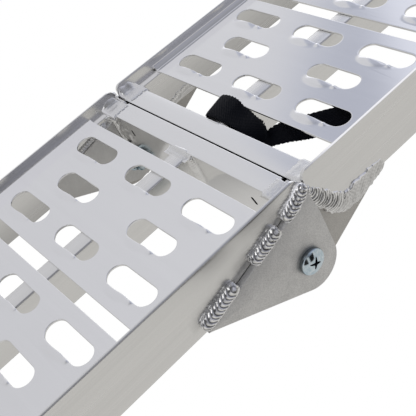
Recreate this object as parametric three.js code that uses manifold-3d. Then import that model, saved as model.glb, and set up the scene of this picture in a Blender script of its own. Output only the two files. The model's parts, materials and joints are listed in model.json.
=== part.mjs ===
// Folding loading ramp: two aluminium ladder sections joined by a pair of bolted
// clevis hinges under the side rails, with punched tread panels and a webbing strap.
// Frame: origin at the centre of the lower hinge crossbar's top face, which lies
// in the deck surface. +X across the ramp to the right, +Y towards the upper section,
// which slopes slightly down from the seam, +Z up. Millimetres.
// Parts are drawn in a seam frame: y = 0 at the hinge seam, z = 0 in the deck surface.
// "Along" is the distance from the seam, positive into the section being built.
import * as THREE from 'three';
import { mergeVertices } from 'three/addons/utils/BufferGeometryUtils.js';
import Module from 'manifold-3d';

const wasm = await Module();
wasm.setup();

// ---------------------------------------------------------------- shared dimensions
const GAP = 0.3;               // clearance between neighbouring parts
const TILT = 0.0219;           // downward slope of the upper section, rad

const RAIL_OUT = 140.5;        // outer face of the side rails
const RAIL_IN = 128.2;         // inner face of the side rails
const RAIL_WALL = 2.8;         // side walls and floor of the box
const RAIL_BOT = -44.5;        // underside of the rails
const LEDGE_Z = -2.3;          // ledge that carries the tread panels
const CAVITY_IN = RAIL_IN + RAIL_WALL;
const CAVITY_OUT = RAIL_OUT - RAIL_WALL;
const SECTION_LEN = 1105.0;    // seam to the far end of a rail

const BAR_W = 20.1;            // hinge crossbar width
const BAR_NEAR = 1.0;          // seam to the crossbar's near face
const BAR_FAR = BAR_NEAR + BAR_W;
const BAR_BOT = -41.0;
const END_BAR_NEAR = 1081.0;   // faces of the crossbar at the far end
const END_BAR_FAR = 1101.2;

const SIDES = [[1, 'right'], [-1, 'left']];

// ---------------------------------------------------------------- finishes
const finish = (color, roughness, metalness) =>
  new THREE.MeshStandardMaterial({ color, roughness, metalness });
const FINISH = {
  mill: finish(0xb9b8b4, 0.45, 0.9),
  tread: finish(0xc8c8ce, 0.38, 0.9),
  cast: finish(0x9a9894, 0.6, 0.85),
  zinc: finish(0xa9b8c2, 0.3, 0.95),
  rubber: finish(0x1b1b1c, 0.9, 0.0),
  webbing: finish(0x0f1014, 0.9, 0.0),
};

// ---------------------------------------------------------------- outlines
const rect = (left, bottom, right, top) =>
  [[left, bottom], [right, bottom], [right, top], [left, top]];

// count + 1 points on an arc, angles in degrees
const arc = ([centreU, centreV], radius, start, end, count) =>
  Array.from({ length: count + 1 }, (_, i) => {
    const angle = ((start + ((end - start) * i) / count) * Math.PI) / 180;
    return [centreU + radius * Math.cos(angle), centreV + radius * Math.sin(angle)];
  });

// regular polygon, its first corner at the angle start, in radians
const polygon = ([centreU, centreV], radius, count, start = 0) =>
  Array.from({ length: count }, (_, i) => {
    const angle = start + (2 * Math.PI * i) / count;
    return [centreU + radius * Math.cos(angle), centreV + radius * Math.sin(angle)];
  });

// mirrors an outline's first coordinate when sign is -1
const flip = (points, sign) => points.map(([first, second]) => [sign * first, second]);

// range [low, high] on the + side, or its mirror image on the - side
const span = (sign, low, high) => (sign > 0 ? [low, high] : [-high, -low]);

// moves an outline by a distance in its first coordinate
const shift = (points, distance) =>
  points.map(([first, second]) => [distance + first, second]);

// ---------------------------------------------------------------- solids
const wound = (points, anticlockwise) => {
  const loop = points.map((point) => new THREE.Vector2(...point));
  return THREE.ShapeUtils.area(loop) > 0 === anticlockwise ? loop : loop.reverse();
};

// outline in (x, y), swept along z
const alongZ = (outline, [start, end], holes = []) => {
  const shape = new THREE.Shape(wound(outline, true));
  shape.holes = holes.map((hole) => new THREE.Path(wound(hole, false)));
  return new THREE.ExtrudeGeometry(shape, { depth: end - start, bevelEnabled: false })
    .translate(0, 0, start);
};

const AXIS_X = new THREE.Vector3(1, 0, 0);
const AXIS_Y = new THREE.Vector3(0, 1, 0);
const AXIS_Z = new THREE.Vector3(0, 0, 1);

// outline in (y, z), swept along x
const alongX = (outline, range, holes) => alongZ(outline, range, holes)
  .applyMatrix4(new THREE.Matrix4().makeBasis(AXIS_Y, AXIS_Z, AXIS_X));

// outline in (x, z), swept along y; the sweep axis maps to -y, so the range is negated
const alongY = (outline, [start, end], holes) => alongZ(outline, [-end, -start], holes)
  .applyMatrix4(new THREE.Matrix4().makeBasis(AXIS_X, AXIS_Z, AXIS_Y.clone().negate()));

const toSolid = (geometry) => {
  const bare = geometry.clone();
  bare.deleteAttribute('normal');
  bare.deleteAttribute('uv');
  const merged = mergeVertices(bare, 1e-4);
  return new wasm.Manifold(new wasm.Mesh({
    numProp: 3,
    vertProperties: new Float32Array(merged.attributes.position.array),
    triVerts: new Uint32Array(merged.index.array),
  }));
};
const toGeometry = (body) => {
  const mesh = body.getMesh();
  const geometry = new THREE.BufferGeometry();
  const positions = new Float32Array(mesh.vertProperties);
  geometry.setAttribute('position', new THREE.BufferAttribute(positions, 3));
  geometry.setIndex(new THREE.BufferAttribute(new Uint32Array(mesh.triVerts), 1));
  geometry.computeVertexNormals();
  return geometry;
};
const cut = (geometry, ...tools) =>
  toGeometry(tools.reduce((body, tool) => body.subtract(toSolid(tool)), toSolid(geometry)));
const join = (first, second) => toGeometry(toSolid(first).add(toSolid(second)));

// ---------------------------------------------------------------- groups and sections
const ramp = new THREE.Group();
const lower = new THREE.Group();
const upper = new THREE.Group();
ramp.position.y = BAR_NEAR + BAR_W / 2;   // moves the origin onto the lower crossbar
upper.rotation.x = -TILT;
ramp.add(lower, upper);

const put = (group, name, geometry, material) => {
  const mesh = new THREE.Mesh(geometry, material);
  mesh.name = name;
  group.add(mesh);
};

const SECTIONS = [
  {
    name: 'lower',
    endName: 'ground',
    group: lower,
    dir: -1,                   // direction of the section along y
    hingeBarFar: BAR_FAR,
    floorSlotEnd: 74,          // end of the slot in the rail floor
    panelStart: 38.9,          // near edge of the first panel
    firstRow: 24.5,            // panel edge to its first slot row
    // bevel under the far end of the rail: (along, z)
    railCut: shift([
      [-30, RAIL_BOT - 6], [8, RAIL_BOT - 6], [8, RAIL_BOT + 20], [-30, RAIL_BOT - 0.01],
    ], SECTION_LEN),
  },
  {
    name: 'upper',
    endName: 'top',
    group: upper,
    dir: 1,
    hingeBarFar: BAR_FAR + 1.2,
    floorSlotEnd: 92,
    panelStart: 49.6,
    firstRow: 26.4,
    // mitred lower corner of the rail at the hinge: (along, z)
    railCut: [
      [-10, -1.5], [1.0, -1.5], [3.2, -5],
      [36, RAIL_BOT - 1], [36, RAIL_BOT - 8], [-10, RAIL_BOT - 8],
    ],
  },
];

// ---------------------------------------------------------------- side rails
const RAIL_ROOF = 3.0;         // box roof thickness
const RAIL_NEAR = 1.7;         // seam to the near end of a rail
const LIP_T = 3.0;
const LIP_TOP = 12.4;          // lip height above the deck
const LIP_R = 8.5;             // rounded lip corner at the hinge end
const FLOOR_SLOT_SIDE = 0.02;  // floor slot overlap into each side wall
const CUTTER_HALF = 200;       // cutters reach past both rails
const CUTTER_TOP = 30;

// box with an upstanding lip on the outer edge: (x, z)
const RAIL_OUTLINE = [
  [RAIL_IN, RAIL_BOT], [RAIL_OUT, RAIL_BOT], [RAIL_OUT, LIP_TOP],
  [RAIL_OUT - LIP_T, LIP_TOP], [RAIL_OUT - LIP_T, LEDGE_Z], [RAIL_IN, LEDGE_Z],
];
const RAIL_CAVITY = rect(CAVITY_IN, RAIL_BOT + RAIL_WALL, CAVITY_OUT, LEDGE_Z - RAIL_ROOF);

// cutter that rounds the lip corner at the hinge: (along, z)
const LIP_CORNER = [
  [0, CUTTER_TOP], [0, LIP_TOP - LIP_R],
  ...arc([RAIL_NEAR + LIP_R, LIP_TOP - LIP_R], LIP_R, 180, 90, 6),
  [RAIL_NEAR + LIP_R, CUTTER_TOP],
];
// cutter that tapers the lip down to the far end: (along, z)
const LIP_TAPER = shift([
  [-34, LIP_TOP + 8], [-34, LIP_TOP + 0.01], [-4, LEDGE_Z + 1.5],
  [8, LEDGE_Z + 1.5], [8, LIP_TOP + 8],
], SECTION_LEN);

// slot in the rail floor where the upper hinge leaf passes
const floorSlot = (side, { dir, floorSlotEnd }) => {
  const [x0, x1] = span(side, CAVITY_IN - FLOOR_SLOT_SIDE, CAVITY_OUT + FLOOR_SLOT_SIDE);
  const [y0, y1] = span(dir, -5, floorSlotEnd);
  return alongZ(rect(x0, y0, x1, y1), [RAIL_BOT - 5, RAIL_BOT + RAIL_WALL + 0.5]);
};
const rail = (side, section) => {
  const { dir, railCut } = section;
  const range = span(dir, RAIL_NEAR, SECTION_LEN);
  const blank = alongY(flip(RAIL_OUTLINE, side), range, [flip(RAIL_CAVITY, side)]);
  const cutters = [LIP_CORNER, railCut, LIP_TAPER]
    .map((outline) => alongX(flip(outline, dir), [-CUTTER_HALF, CUTTER_HALF]));
  return cut(blank, floorSlot(side, section), ...cutters);
};
for (const section of SECTIONS) {
  for (const [side, tag] of SIDES) {
    put(section.group, `${section.name}_rail_${tag}`, rail(side, section), FINISH.mill);
  }
}

// ---------------------------------------------------------------- crossbars and stringers
const TUBE_WALL = 2.0;         // wall of the crossbars and stringers
const BAR_HALF = RAIL_IN - GAP;
const STRINGER_W = 20.2;
const STRINGER_TOP = LEDGE_Z;
const STRINGER_BOT = -42.3;
const DRAIN_X = 92.8;          // drain holes in the far wall of the lower hinge crossbar
const DRAIN_HALF = 3.0;
const DRAIN_Z = [-21.5, -17.5];

// rectangular tube outline and its bore
const tube = (left, bottom, right, top) => [
  rect(left, bottom, right, top),
  rect(left + TUBE_WALL, bottom + TUBE_WALL, right - TUBE_WALL, top - TUBE_WALL),
];
const crossbar = ([y0, y1]) => {
  const [outline, bore] = tube(y0, BAR_BOT, y1, 0);
  return alongX(outline, [-BAR_HALF, BAR_HALF], [bore]);
};
const stringer = (range) => {
  const [outline, bore] = tube(-STRINGER_W / 2, STRINGER_BOT, STRINGER_W / 2, STRINGER_TOP);
  return alongY(outline, range, [bore]);
};
const drain = (x) => alongY(
  rect(x - DRAIN_HALF, DRAIN_Z[0], x + DRAIN_HALF, DRAIN_Z[1]), [-BAR_FAR - 3, -BAR_FAR + 4]);

for (const { name, endName, group, dir, hingeBarFar } of SECTIONS) {
  const hingeBar = crossbar(span(dir, BAR_NEAR, hingeBarFar));
  put(group, `hinge_crossbar_${name}`,
    name === 'lower' ? cut(hingeBar, drain(DRAIN_X), drain(-DRAIN_X)) : hingeBar, FINISH.tread);
  put(group, `${endName}_end_crossbar`,
    crossbar(span(dir, END_BAR_NEAR, END_BAR_FAR)), FINISH.tread);
  put(group, `centre_stringer_${name}`,
    stringer(span(dir, hingeBarFar + GAP, END_BAR_NEAR - GAP)), FINISH.mill);
}

// ---------------------------------------------------------------- tread panels
const PANEL_T = 2.0;
const PANEL_HALF = 137.0;      // half width, reaching onto both ledges
const PANEL_LEN = 135.8;
const PANEL_PITCH = 149.0;
const PANEL_COUNT = 7;
const ROW_PITCH = 42.0;        // slot rows along the ramp
const SLOT_HALF_LEN = 30.5;
const SLOT_R = 10.3;           // slot half width and end radius
const ROW_COLUMNS = [[-89.0, 0, 89.0], [-61.8, 61.8], [-89.0, 0, 89.0]];   // slot centres, x

const slot = (x, y) => {
  const reach = SLOT_HALF_LEN - SLOT_R;
  return [
    ...arc([x + reach, y], SLOT_R, -90, 90, 4),
    ...arc([x - reach, y], SLOT_R, 90, 270, 4),
  ];
};
const panel = ({ dir, panelStart, firstRow }, index) => {
  const start = panelStart + index * PANEL_PITCH;
  const [y0, y1] = span(dir, start, start + PANEL_LEN);
  const slots = ROW_COLUMNS.flatMap((columns, row) =>
    columns.map((x) => slot(x, dir * (start + firstRow + row * ROW_PITCH))));
  return alongZ(rect(-PANEL_HALF, y0, PANEL_HALF, y1), [-PANEL_T, 0], slots);
};
for (const section of SECTIONS) {
  for (let i = 0; i < PANEL_COUNT; i++) {
    put(section.group, `tread_panel_${section.name}_${i + 1}`, panel(section, i), FINISH.tread);
  }
}

// ---------------------------------------------------------------- hinges
const PIVOT = [-24.5, -62.0];  // bolt axis: y, z
const LEAF_T = 6.0;
const SEAT_GAP = 0.2;          // clearance between stacked bolt parts
const WASHER_T = 1.8;
const NUT_H = 9.0;
const LEAF_SIDE_GAP = 0.6;     // upper leaf to the cavity walls
const BOLT_R = 4.75;
const BOLT_TIP = 108.0;        // x of the inboard end of the shank
const HEAD_R = 12.5;
const HEAD_H = 5.8;

// stack across the right-hand hinge, as x positions
const OUTER_LEAF_X = [RAIL_OUT + GAP, RAIL_OUT + GAP + LEAF_T];
const INNER_LEAF_X = [RAIL_IN - GAP - LEAF_T, RAIL_IN - GAP];
const HEAD_SEAT = OUTER_LEAF_X[1] + SEAT_GAP;
const WASHER_OUT = INNER_LEAF_X[0] - SEAT_GAP;
const WASHER_IN = WASHER_OUT - WASHER_T;
const NUT_OUT = WASHER_IN - SEAT_GAP;

const PIVOT_HOLE = polygon(PIVOT, 5.4, 16);
const NUT_HOLE = polygon(PIVOT, BOLT_R + 0.25, 16);
const SPACER = polygon(PIVOT, 10.5, 20);
const WASHER = polygon(PIVOT, 11.0, 20);
const NUT = polygon(PIVOT, 8.6, 6, 0.26);

// Leaf outlines: (y, z).
// on the outer face of the lower rail
const OUTER_LEAF = [
  [-1.5, -2.9], [-127.5, -38.4], [-130.5, -40.2], [-127.5, -41.4],
  ...arc([-22, -69.3], 25.3, 241.9, 363, 12),
  [2.0, -26],
];
// on the inner face of the lower rail, passing under the crossbar
const INNER_LEAF = [
  [-24.5, -8], [-118, -24], [-118, -40],
  ...arc(PIVOT, 24, 242, 415, 12),
  [-24.5, -42.3],
];
// leaf of the upper section, inside its box rail, between the two lower leaves
const UPPER_LEAF = [
  [-24.5, -46.0], [-0.6, -45.6], [5.2, -14], [12, -9.5], [74, -9.5],
  [89.0, -44.8], [89.0, -46.6], [-15.4, -93.7],
  ...arc([-27, -70], 24, 292, 210, 5),
  ...arc(PIVOT, 15.6, 200, 90, 5),
];

// flat parts on the bolt: name, outline, x range, hole, finish
const PLATES = [
  ['leaf_outer', OUTER_LEAF, OUTER_LEAF_X, PIVOT_HOLE, FINISH.cast],
  ['leaf_inner', INNER_LEAF, INNER_LEAF_X, PIVOT_HOLE, FINISH.cast],
  ['leaf_upper', UPPER_LEAF, [CAVITY_IN + LEAF_SIDE_GAP, CAVITY_OUT - LEAF_SIDE_GAP],
    PIVOT_HOLE, FINISH.cast],
  ['spacer_outer', SPACER, [CAVITY_OUT - 0.4, RAIL_OUT + 0.1], PIVOT_HOLE, FINISH.zinc],
  ['spacer_inner', SPACER, [RAIL_IN - 0.1, CAVITY_IN + 0.4], PIVOT_HOLE, FINISH.zinc],
  ['washer', WASHER, [WASHER_IN, WASHER_OUT], PIVOT_HOLE, FINISH.zinc],
  ['nut', NUT, [NUT_OUT - NUT_H, NUT_OUT], NUT_HOLE, FINISH.zinc],
];

// shank and domed outboard head: (radius, x)
const BOLT_PROFILE = [
  [0, BOLT_TIP], [BOLT_R - 0.7, BOLT_TIP], [BOLT_R, BOLT_TIP + 0.9],
  [BOLT_R, HEAD_SEAT], [HEAD_R, HEAD_SEAT], [HEAD_R, HEAD_SEAT + 3.2],
  [HEAD_R - 1.2, HEAD_SEAT + 4.4], [HEAD_R - 4.2, HEAD_SEAT + HEAD_H - 0.4],
  [0, HEAD_SEAT + HEAD_H],
];
const RECESS_ANGLE = 0.30;     // turn of the cross recess, rad
const RECESS_DEPTH = 2.2;
const RECESS_ARM = rect(-5.2, -1.1, 5.2, 1.1);

const recessArm = (side, angle) => {
  const cos = Math.cos(angle);
  const sin = Math.sin(angle);
  const outline = RECESS_ARM
    .map(([y, z]) => [PIVOT[0] + y * cos - z * sin, PIVOT[1] + y * sin + z * cos]);
  const headTop = HEAD_SEAT + HEAD_H;
  return alongX(outline, span(side, headTop - RECESS_DEPTH, headTop + 2));
};
const bolt = (side) => {
  const profile = BOLT_PROFILE.map((point) => new THREE.Vector2(...point));
  const body = new THREE.LatheGeometry(profile, 20)
    .rotateZ((-side * Math.PI) / 2)
    .translate(0, ...PIVOT);
  return cut(body,
    recessArm(side, RECESS_ANGLE), recessArm(side, RECESS_ANGLE + Math.PI / 2));
};
for (const [side, tag] of SIDES) {
  for (const [name, outline, range, hole, material] of PLATES) {
    put(ramp, `hinge_${name}_${tag}`, alongX(outline, span(side, ...range), [hole]), material);
  }
  put(ramp, `hinge_bolt_${tag}`, bolt(side), FINISH.zinc);
}

// ---------------------------------------------------------------- end fittings
const FITTING_X = [-127.0, 127.0];
const PAD_X = 78;              // pad centres each side of the middle
const TONGUE_PAD_HALF = 30;
const TONGUE_PAD_T = 5;
const TONGUE_PAD_ALONG = [14, 54];   // pad ends, beyond the end crossbar
const GROUND_PAD_HALF = 35;
const GROUND_PAD_INSET = 0.6;        // from the crossbar faces
const GROUND_PAD_BOT = BAR_BOT - 6.5;

// tongue that lies on the tailgate: (distance beyond the end crossbar, z)
const UNDER_NEAR = [4.3, -8];        // ends of its straight underside
const UNDER_FAR = [62, -12.5];
const TONGUE = [
  [0.3, -30], [4.3, -30], UNDER_NEAR, UNDER_FAR,
  [70, -15.5], [71, -11.7], [62.5, -8.5], [5, -4], [0.3, -4],
];
// foot plate that lies on the ground: (distance beyond the end crossbar, z)
const FOOT = [
  [0.3, -38], [4.3, -38], [4.3, -12], [62, -40.5], [63.5, -37], [5, -7.4], [0.3, -7.4],
];

// pad hung under the sloping underside of the tongue
const tonguePad = (x) => {
  const [near, far] = TONGUE_PAD_ALONG;
  const top = (along) => THREE.MathUtils.mapLinear(
    along, UNDER_NEAR[0], UNDER_FAR[0], UNDER_NEAR[1], UNDER_FAR[1]) - GAP;
  const outline = [
    [near, top(near)], [near, top(near) - TONGUE_PAD_T],
    [far, top(far) - TONGUE_PAD_T], [far, top(far)],
  ];
  return alongX(shift(outline, END_BAR_FAR), [x - TONGUE_PAD_HALF, x + TONGUE_PAD_HALF]);
};
// pad under the ground end crossbar
const groundPad = (x) => alongX(
  rect(-END_BAR_FAR + GROUND_PAD_INSET, GROUND_PAD_BOT,
    -END_BAR_NEAR - GROUND_PAD_INSET, BAR_BOT - GAP),
  [x - GROUND_PAD_HALF, x + GROUND_PAD_HALF]);

put(upper, 'tailgate_tongue', alongX(shift(TONGUE, END_BAR_FAR), FITTING_X), FINISH.tread);
put(lower, 'ground_foot_plate',
  alongX(flip(shift(FOOT, END_BAR_FAR), -1), FITTING_X), FINISH.tread);
for (const [side, tag] of SIDES) {
  put(upper, `tongue_pad_${tag}`, tonguePad(side * PAD_X), FINISH.rubber);
  put(lower, `ground_pad_${tag}`, groundPad(side * PAD_X), FINISH.rubber);
}

// ---------------------------------------------------------------- safety strap
// webbing looped round the upper stringer, its tail running under the first panel
const STRAP_Y = [24.2, 48.2];
const TAIL_Z = [-8.2, -5.0];
// outside of the loop: (x, z)
const LOOP_OUTER = [
  [-20.5, -4], [-20, -1.5], [-16, 2.2], [-9, 3.2], [2, 2.4],
  [14, 0.4], [36, -2.2], [66, -4.0], [66, -7.6], [34, -5.8],
  [17, -7], [13.4, -14], [12.8, -46], [-14, -46], [-15.6, -14],
];
// inside of the loop: (x, z)
const LOOP_INNER = [
  [-12.2, -1.2], [-12.4, -14], [-11.2, -43.6], [10.9, -43.6],
  [11.2, -14], [11.0, -1.4], [2, -0.6], [-6, -0.2],
];
// flat tail: (x, y)
const TAIL = [
  [62, STRAP_Y[0]], [82, 24.6], [118, 56], [118, 92], [96, 92], [72, 60], [62, STRAP_Y[1]],
];
put(upper, 'safety_strap',
  join(alongY(LOOP_OUTER, STRAP_Y, [LOOP_INNER]), alongZ(TAIL, TAIL_Z)), FINISH.webbing);

export default ramp;
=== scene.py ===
"""Folding aluminium loading ramp, shown open around its hinge.

+X is the right side, -Y leads down the lower section to the ground foot, +Y along the upper
section to the tailgate tongue, +Z is up. Pieces are modelled in millimetres with y = 0 at the
seam between the sections and z = 0 at the tread, then scaled to metres. Materials, floor,
world and camera are in metres.
"""
import json
import math
import random

import bmesh
import bpy
from mathutils import Matrix, Vector
from mathutils.geometry import tessellate_polygon


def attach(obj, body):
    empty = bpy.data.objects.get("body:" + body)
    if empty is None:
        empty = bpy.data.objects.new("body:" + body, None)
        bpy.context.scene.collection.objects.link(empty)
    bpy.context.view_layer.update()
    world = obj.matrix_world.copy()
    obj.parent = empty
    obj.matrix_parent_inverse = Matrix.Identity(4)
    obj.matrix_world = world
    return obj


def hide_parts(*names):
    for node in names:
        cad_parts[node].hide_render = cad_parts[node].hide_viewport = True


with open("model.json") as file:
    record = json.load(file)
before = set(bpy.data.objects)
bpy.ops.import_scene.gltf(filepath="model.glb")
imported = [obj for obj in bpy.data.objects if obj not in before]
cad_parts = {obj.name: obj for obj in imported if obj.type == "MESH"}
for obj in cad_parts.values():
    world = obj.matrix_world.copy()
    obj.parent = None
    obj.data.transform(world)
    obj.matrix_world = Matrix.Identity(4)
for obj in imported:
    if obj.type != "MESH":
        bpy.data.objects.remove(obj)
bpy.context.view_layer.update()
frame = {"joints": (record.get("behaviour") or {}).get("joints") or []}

LOWER, UPPER = "lower_section", "upper_section"
SIGN = {LOWER: -1, UPPER: 1}            # direction of each section along y
SIDES = ((1, "right"), (-1, "left"))
TILT = 0.0219                           # downward slope of the upper section, radians
SEAM = 11.05                            # seam, ahead of the frame's origin
HINGE = frame["joints"][0]["pos_m"]
PIVOT_Y = HINGE[1] * 1000 - SEAM
PIVOT_Z = HINGE[2] * 1000
TO_DEGREES = 180 / math.pi


# ------------------------------------------------------------------ shader graph


class Graph:
    """Writes shader nodes; arguments may be sockets or plain values."""

    def __init__(self, tree):
        self.tree = tree
        tree.nodes.clear()

    def node(self, kind, **settings):
        node = self.tree.nodes.new(kind)
        for key, value in settings.items():
            setattr(node, key, value)
        return node

    def feed(self, socket, value):
        if isinstance(value, bpy.types.NodeSocket):
            self.tree.links.new(value, socket)
        elif socket.type == "RGBA":
            socket.default_value = (*value, 1)
        else:
            socket.default_value = value

    def math(self, operation, first, second=None, clamp=False):
        node = self.node("ShaderNodeMath", operation=operation, use_clamp=clamp)
        self.feed(node.inputs[0], first)
        if second is not None:
            self.feed(node.inputs[1], second)
        return node.outputs[0]

    def add(self, first, second, clamp=False):
        return self.math("ADD", first, second, clamp)

    def sub(self, first, second):
        return self.math("SUBTRACT", first, second)

    def mul(self, first, second):
        return self.math("MULTIPLY", first, second)

    def div(self, first, second):
        return self.math("DIVIDE", first, second)

    def spread(self, value, amount):
        """Centre a 0..1 value on zero and scale it."""
        return self.mul(self.sub(value, 0.5), amount)

    def vector(self, operation, first, second):
        node = self.node("ShaderNodeVectorMath", operation=operation)
        self.feed(node.inputs[0], first)
        self.feed(node.inputs["Scale" if operation == "SCALE" else 1], second)
        return node.outputs["Value" if operation == "DOT_PRODUCT" else "Vector"]

    def remap(self, value, source, target):
        node = self.node("ShaderNodeMapRange")
        self.feed(node.inputs[0], value)
        for i, limit in enumerate((*source, *target)):
            node.inputs[i + 1].default_value = limit
        return node.outputs[0]

    def ramp(self, value, stops):
        """Colour ramp with stops of (position, rgb)."""
        node = self.node("ShaderNodeValToRGB")
        elements = node.color_ramp.elements
        while len(elements) > 1:
            elements.remove(elements[-1])
        elements[0].position = stops[0][0]
        elements[0].color = (*stops[0][1], 1)
        for position, color in stops[1:]:
            elements.new(position).color = (*color, 1)
        self.feed(node.inputs["Fac"], value)
        return node.outputs["Color"]

    def noise(self, position, scale, detail=3.0, roughness=0.5, distortion=0.0):
        node = self.node("ShaderNodeTexNoise")
        node.inputs["Scale"].default_value = scale
        node.inputs["Detail"].default_value = detail
        node.inputs["Roughness"].default_value = roughness
        node.inputs["Distortion"].default_value = distortion
        self.feed(node.inputs["Vector"], position)
        return node.outputs["Fac"]

    def coordinate(self, output):
        return self.node("ShaderNodeTexCoord").outputs[output]

    def geometry(self, output):
        return self.node("ShaderNodeNewGeometry").outputs[output]

    def separate(self, vector):
        node = self.node("ShaderNodeSeparateXYZ")
        self.feed(node.inputs[0], vector)
        return node.outputs

    def brightness(self, color, value):
        node = self.node("ShaderNodeHueSaturation")
        self.feed(node.inputs["Color"], color)
        self.feed(node.inputs["Value"], value)
        return node.outputs["Color"]

    def emission(self, color, strength=1.0):
        node = self.node("ShaderNodeEmission")
        self.feed(node.inputs["Color"], color)
        self.feed(node.inputs["Strength"], strength)
        return node.outputs[0]

    def mix_shader(self, factor, first, second):
        node = self.node("ShaderNodeMixShader")
        for i, value in enumerate((factor, first, second)):
            self.feed(node.inputs[i], value)
        return node.outputs[0]

    def principled(self, color, roughness, height, bump, distance, metallic=0.0):
        """Principled shader with a bump of the given height, strength and distance (m)."""
        node = self.node("ShaderNodeBsdfPrincipled")
        self.feed(node.inputs["Base Color"], color)
        self.feed(node.inputs["Metallic"], metallic)
        self.feed(node.inputs["Roughness"], roughness)
        relief = self.node("ShaderNodeBump")
        relief.inputs["Strength"].default_value = bump
        relief.inputs["Distance"].default_value = distance
        self.feed(relief.inputs["Height"], height)
        self.feed(node.inputs["Normal"], relief.outputs["Normal"])
        return node

    def output(self, shader, kind="ShaderNodeOutputMaterial"):
        self.feed(self.node(kind).inputs[0], shader)


def new_material(name):
    material = bpy.data.materials.new(name)
    material.use_nodes = True
    return material, Graph(material.node_tree)


# ------------------------------------------------------------------ materials


def heat_marks(g, position, color):
    """Grey heat marks along the stitch beads, on the outboard faces only."""
    x, y, z = g.separate(position)
    # height above the line of the beads
    offset = g.sub(z, g.add(g.mul(y, 0.271), 0.0025))
    half_width = 0.0072
    squared = g.mul(g.div(offset, half_width), g.div(offset, half_width))
    falloff = g.math("EXPONENT", g.mul(squared, -1.0))
    outboard = g.remap(g.math("ABSOLUTE", x), (0.1398, 0.1402), (0.0, 1.0))
    extent = g.mul(outboard, g.remap(y, (-0.130, -0.122), (0.0, 1.0)))
    extent = g.mul(extent, g.remap(y, (0.0105, 0.0115), (1.0, 0.0)))
    blotches = g.noise(position, scale=36.0, detail=2.0, roughness=0.5, distortion=0.3)
    pattern = g.remap(blotches, (0.40, 0.6), (0.1, 1.0))
    darkening = 0.34
    marks = g.mul(g.mul(falloff, extent), g.mul(pattern, darkening))
    return g.brightness(color, g.sub(1.0, marks))


def lip_light(g, position, shader):
    """Glow painted on the rail lips, seen only in reflections, in place of light bounced off
    them; and a highlight painted on the top edge of the upper right lip, seen only by the camera.
    """
    x, y, z = g.separate(position)
    # height above the tread, with the upper section's slope taken out
    height = g.add(z, g.mul(g.math("MAXIMUM", g.sub(y, 0.011), 0.0), TILT))
    is_lip = g.remap(height, (-0.0015, 0.0005), (0.0, 1.0))
    is_camera = g.node("ShaderNodeLightPath").outputs["Is Camera Ray"]
    # glow painted on the lips for reflected rays
    painted_glow = g.mul(is_lip, g.sub(1.0, is_camera))
    shader = g.mix_shader(painted_glow, shader, g.emission((0.66, 0.66, 0.70)))
    # highlight painted on the top edge of the upper right lip, for the camera only
    normal_z = g.separate(g.geometry("Normal"))[2]
    edge = g.mul(g.remap(x, (0.1379, 0.1387), (0.0, 1.0)),
                 g.remap(normal_z, (0.30, 0.60), (0.0, 1.0)))
    edge = g.mul(edge, g.remap(height, (0.0106, 0.0114), (0.0, 1.0)))
    edge = g.mul(edge, g.remap(y, (0.018, 0.05), (0.0, 0.9)))
    return g.mix_shader(g.mul(edge, is_camera), shader, g.emission((0.92, 0.92, 0.96)))


def aluminium(name, color, roughness, draw_axis, streak, grain, bump, is_rail=False):
    """Extruded or rolled aluminium: draw lines along one axis, fine grain, faint smudges."""
    material, g = new_material(name)
    position = g.coordinate("Object")

    def drawn_noise(along, across, detail, noise_roughness):
        mapping = g.node("ShaderNodeMapping")
        scale = tuple(along if axis == draw_axis else across for axis in "XYZ")
        g.feed(mapping.inputs["Scale"], scale)
        g.feed(mapping.inputs["Vector"], position)
        return g.noise(mapping.outputs["Vector"], 1.0, detail, noise_roughness)

    fine = drawn_noise(along=5, across=700, detail=2.0, noise_roughness=0.6)
    wide = drawn_noise(along=1.2, across=120, detail=3.0, noise_roughness=0.55)
    smudges = g.noise(position, scale=14.0, detail=4.0, roughness=0.55, distortion=0.4)
    speckle = g.noise(position, scale=1500.0, detail=2.0, roughness=0.6)
    lines = g.add(g.mul(fine, 0.45), g.mul(wide, 0.55))
    variation = g.add(g.spread(lines, streak), g.spread(smudges, 0.1))
    variation = g.add(variation, g.spread(speckle, grain * 0.25))
    shade = g.brightness(color, g.add(1.0, g.mul(variation, 0.35)))
    if is_rail:
        shade = heat_marks(g, position, shade)
    shader = g.principled(
        shade, g.add(roughness, g.mul(variation, 0.28), clamp=True),
        height=g.add(lines, g.mul(speckle, grain)), bump=bump, distance=0.0003,
        metallic=1.0).outputs[0]
    if is_rail:
        shader = lip_light(g, position, shader)
    g.output(shader)
    return material


def plate_metal(name, color):
    """Sawn plate: matte, grainy, slightly mottled."""
    material, g = new_material(name)
    position = g.coordinate("Object")
    grain = g.noise(position, scale=1100.0, detail=3.0, roughness=0.7)
    mottle = g.noise(position, scale=60.0, detail=4.0, roughness=0.6, distortion=0.6)
    clouds = g.noise(position, scale=12.0, detail=2.0, roughness=0.5)
    variation = g.add(g.spread(grain, 1.5), g.spread(mottle, 0.5))
    variation = g.add(variation, g.spread(clouds, 0.2))
    g.output(g.principled(
        g.brightness(color, g.add(1.0, g.mul(variation, 0.6))),
        g.add(0.52, g.mul(variation, 0.12), clamp=True),
        height=grain, bump=0.45, distance=0.0003, metallic=0.85).outputs[0])
    return material


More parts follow.
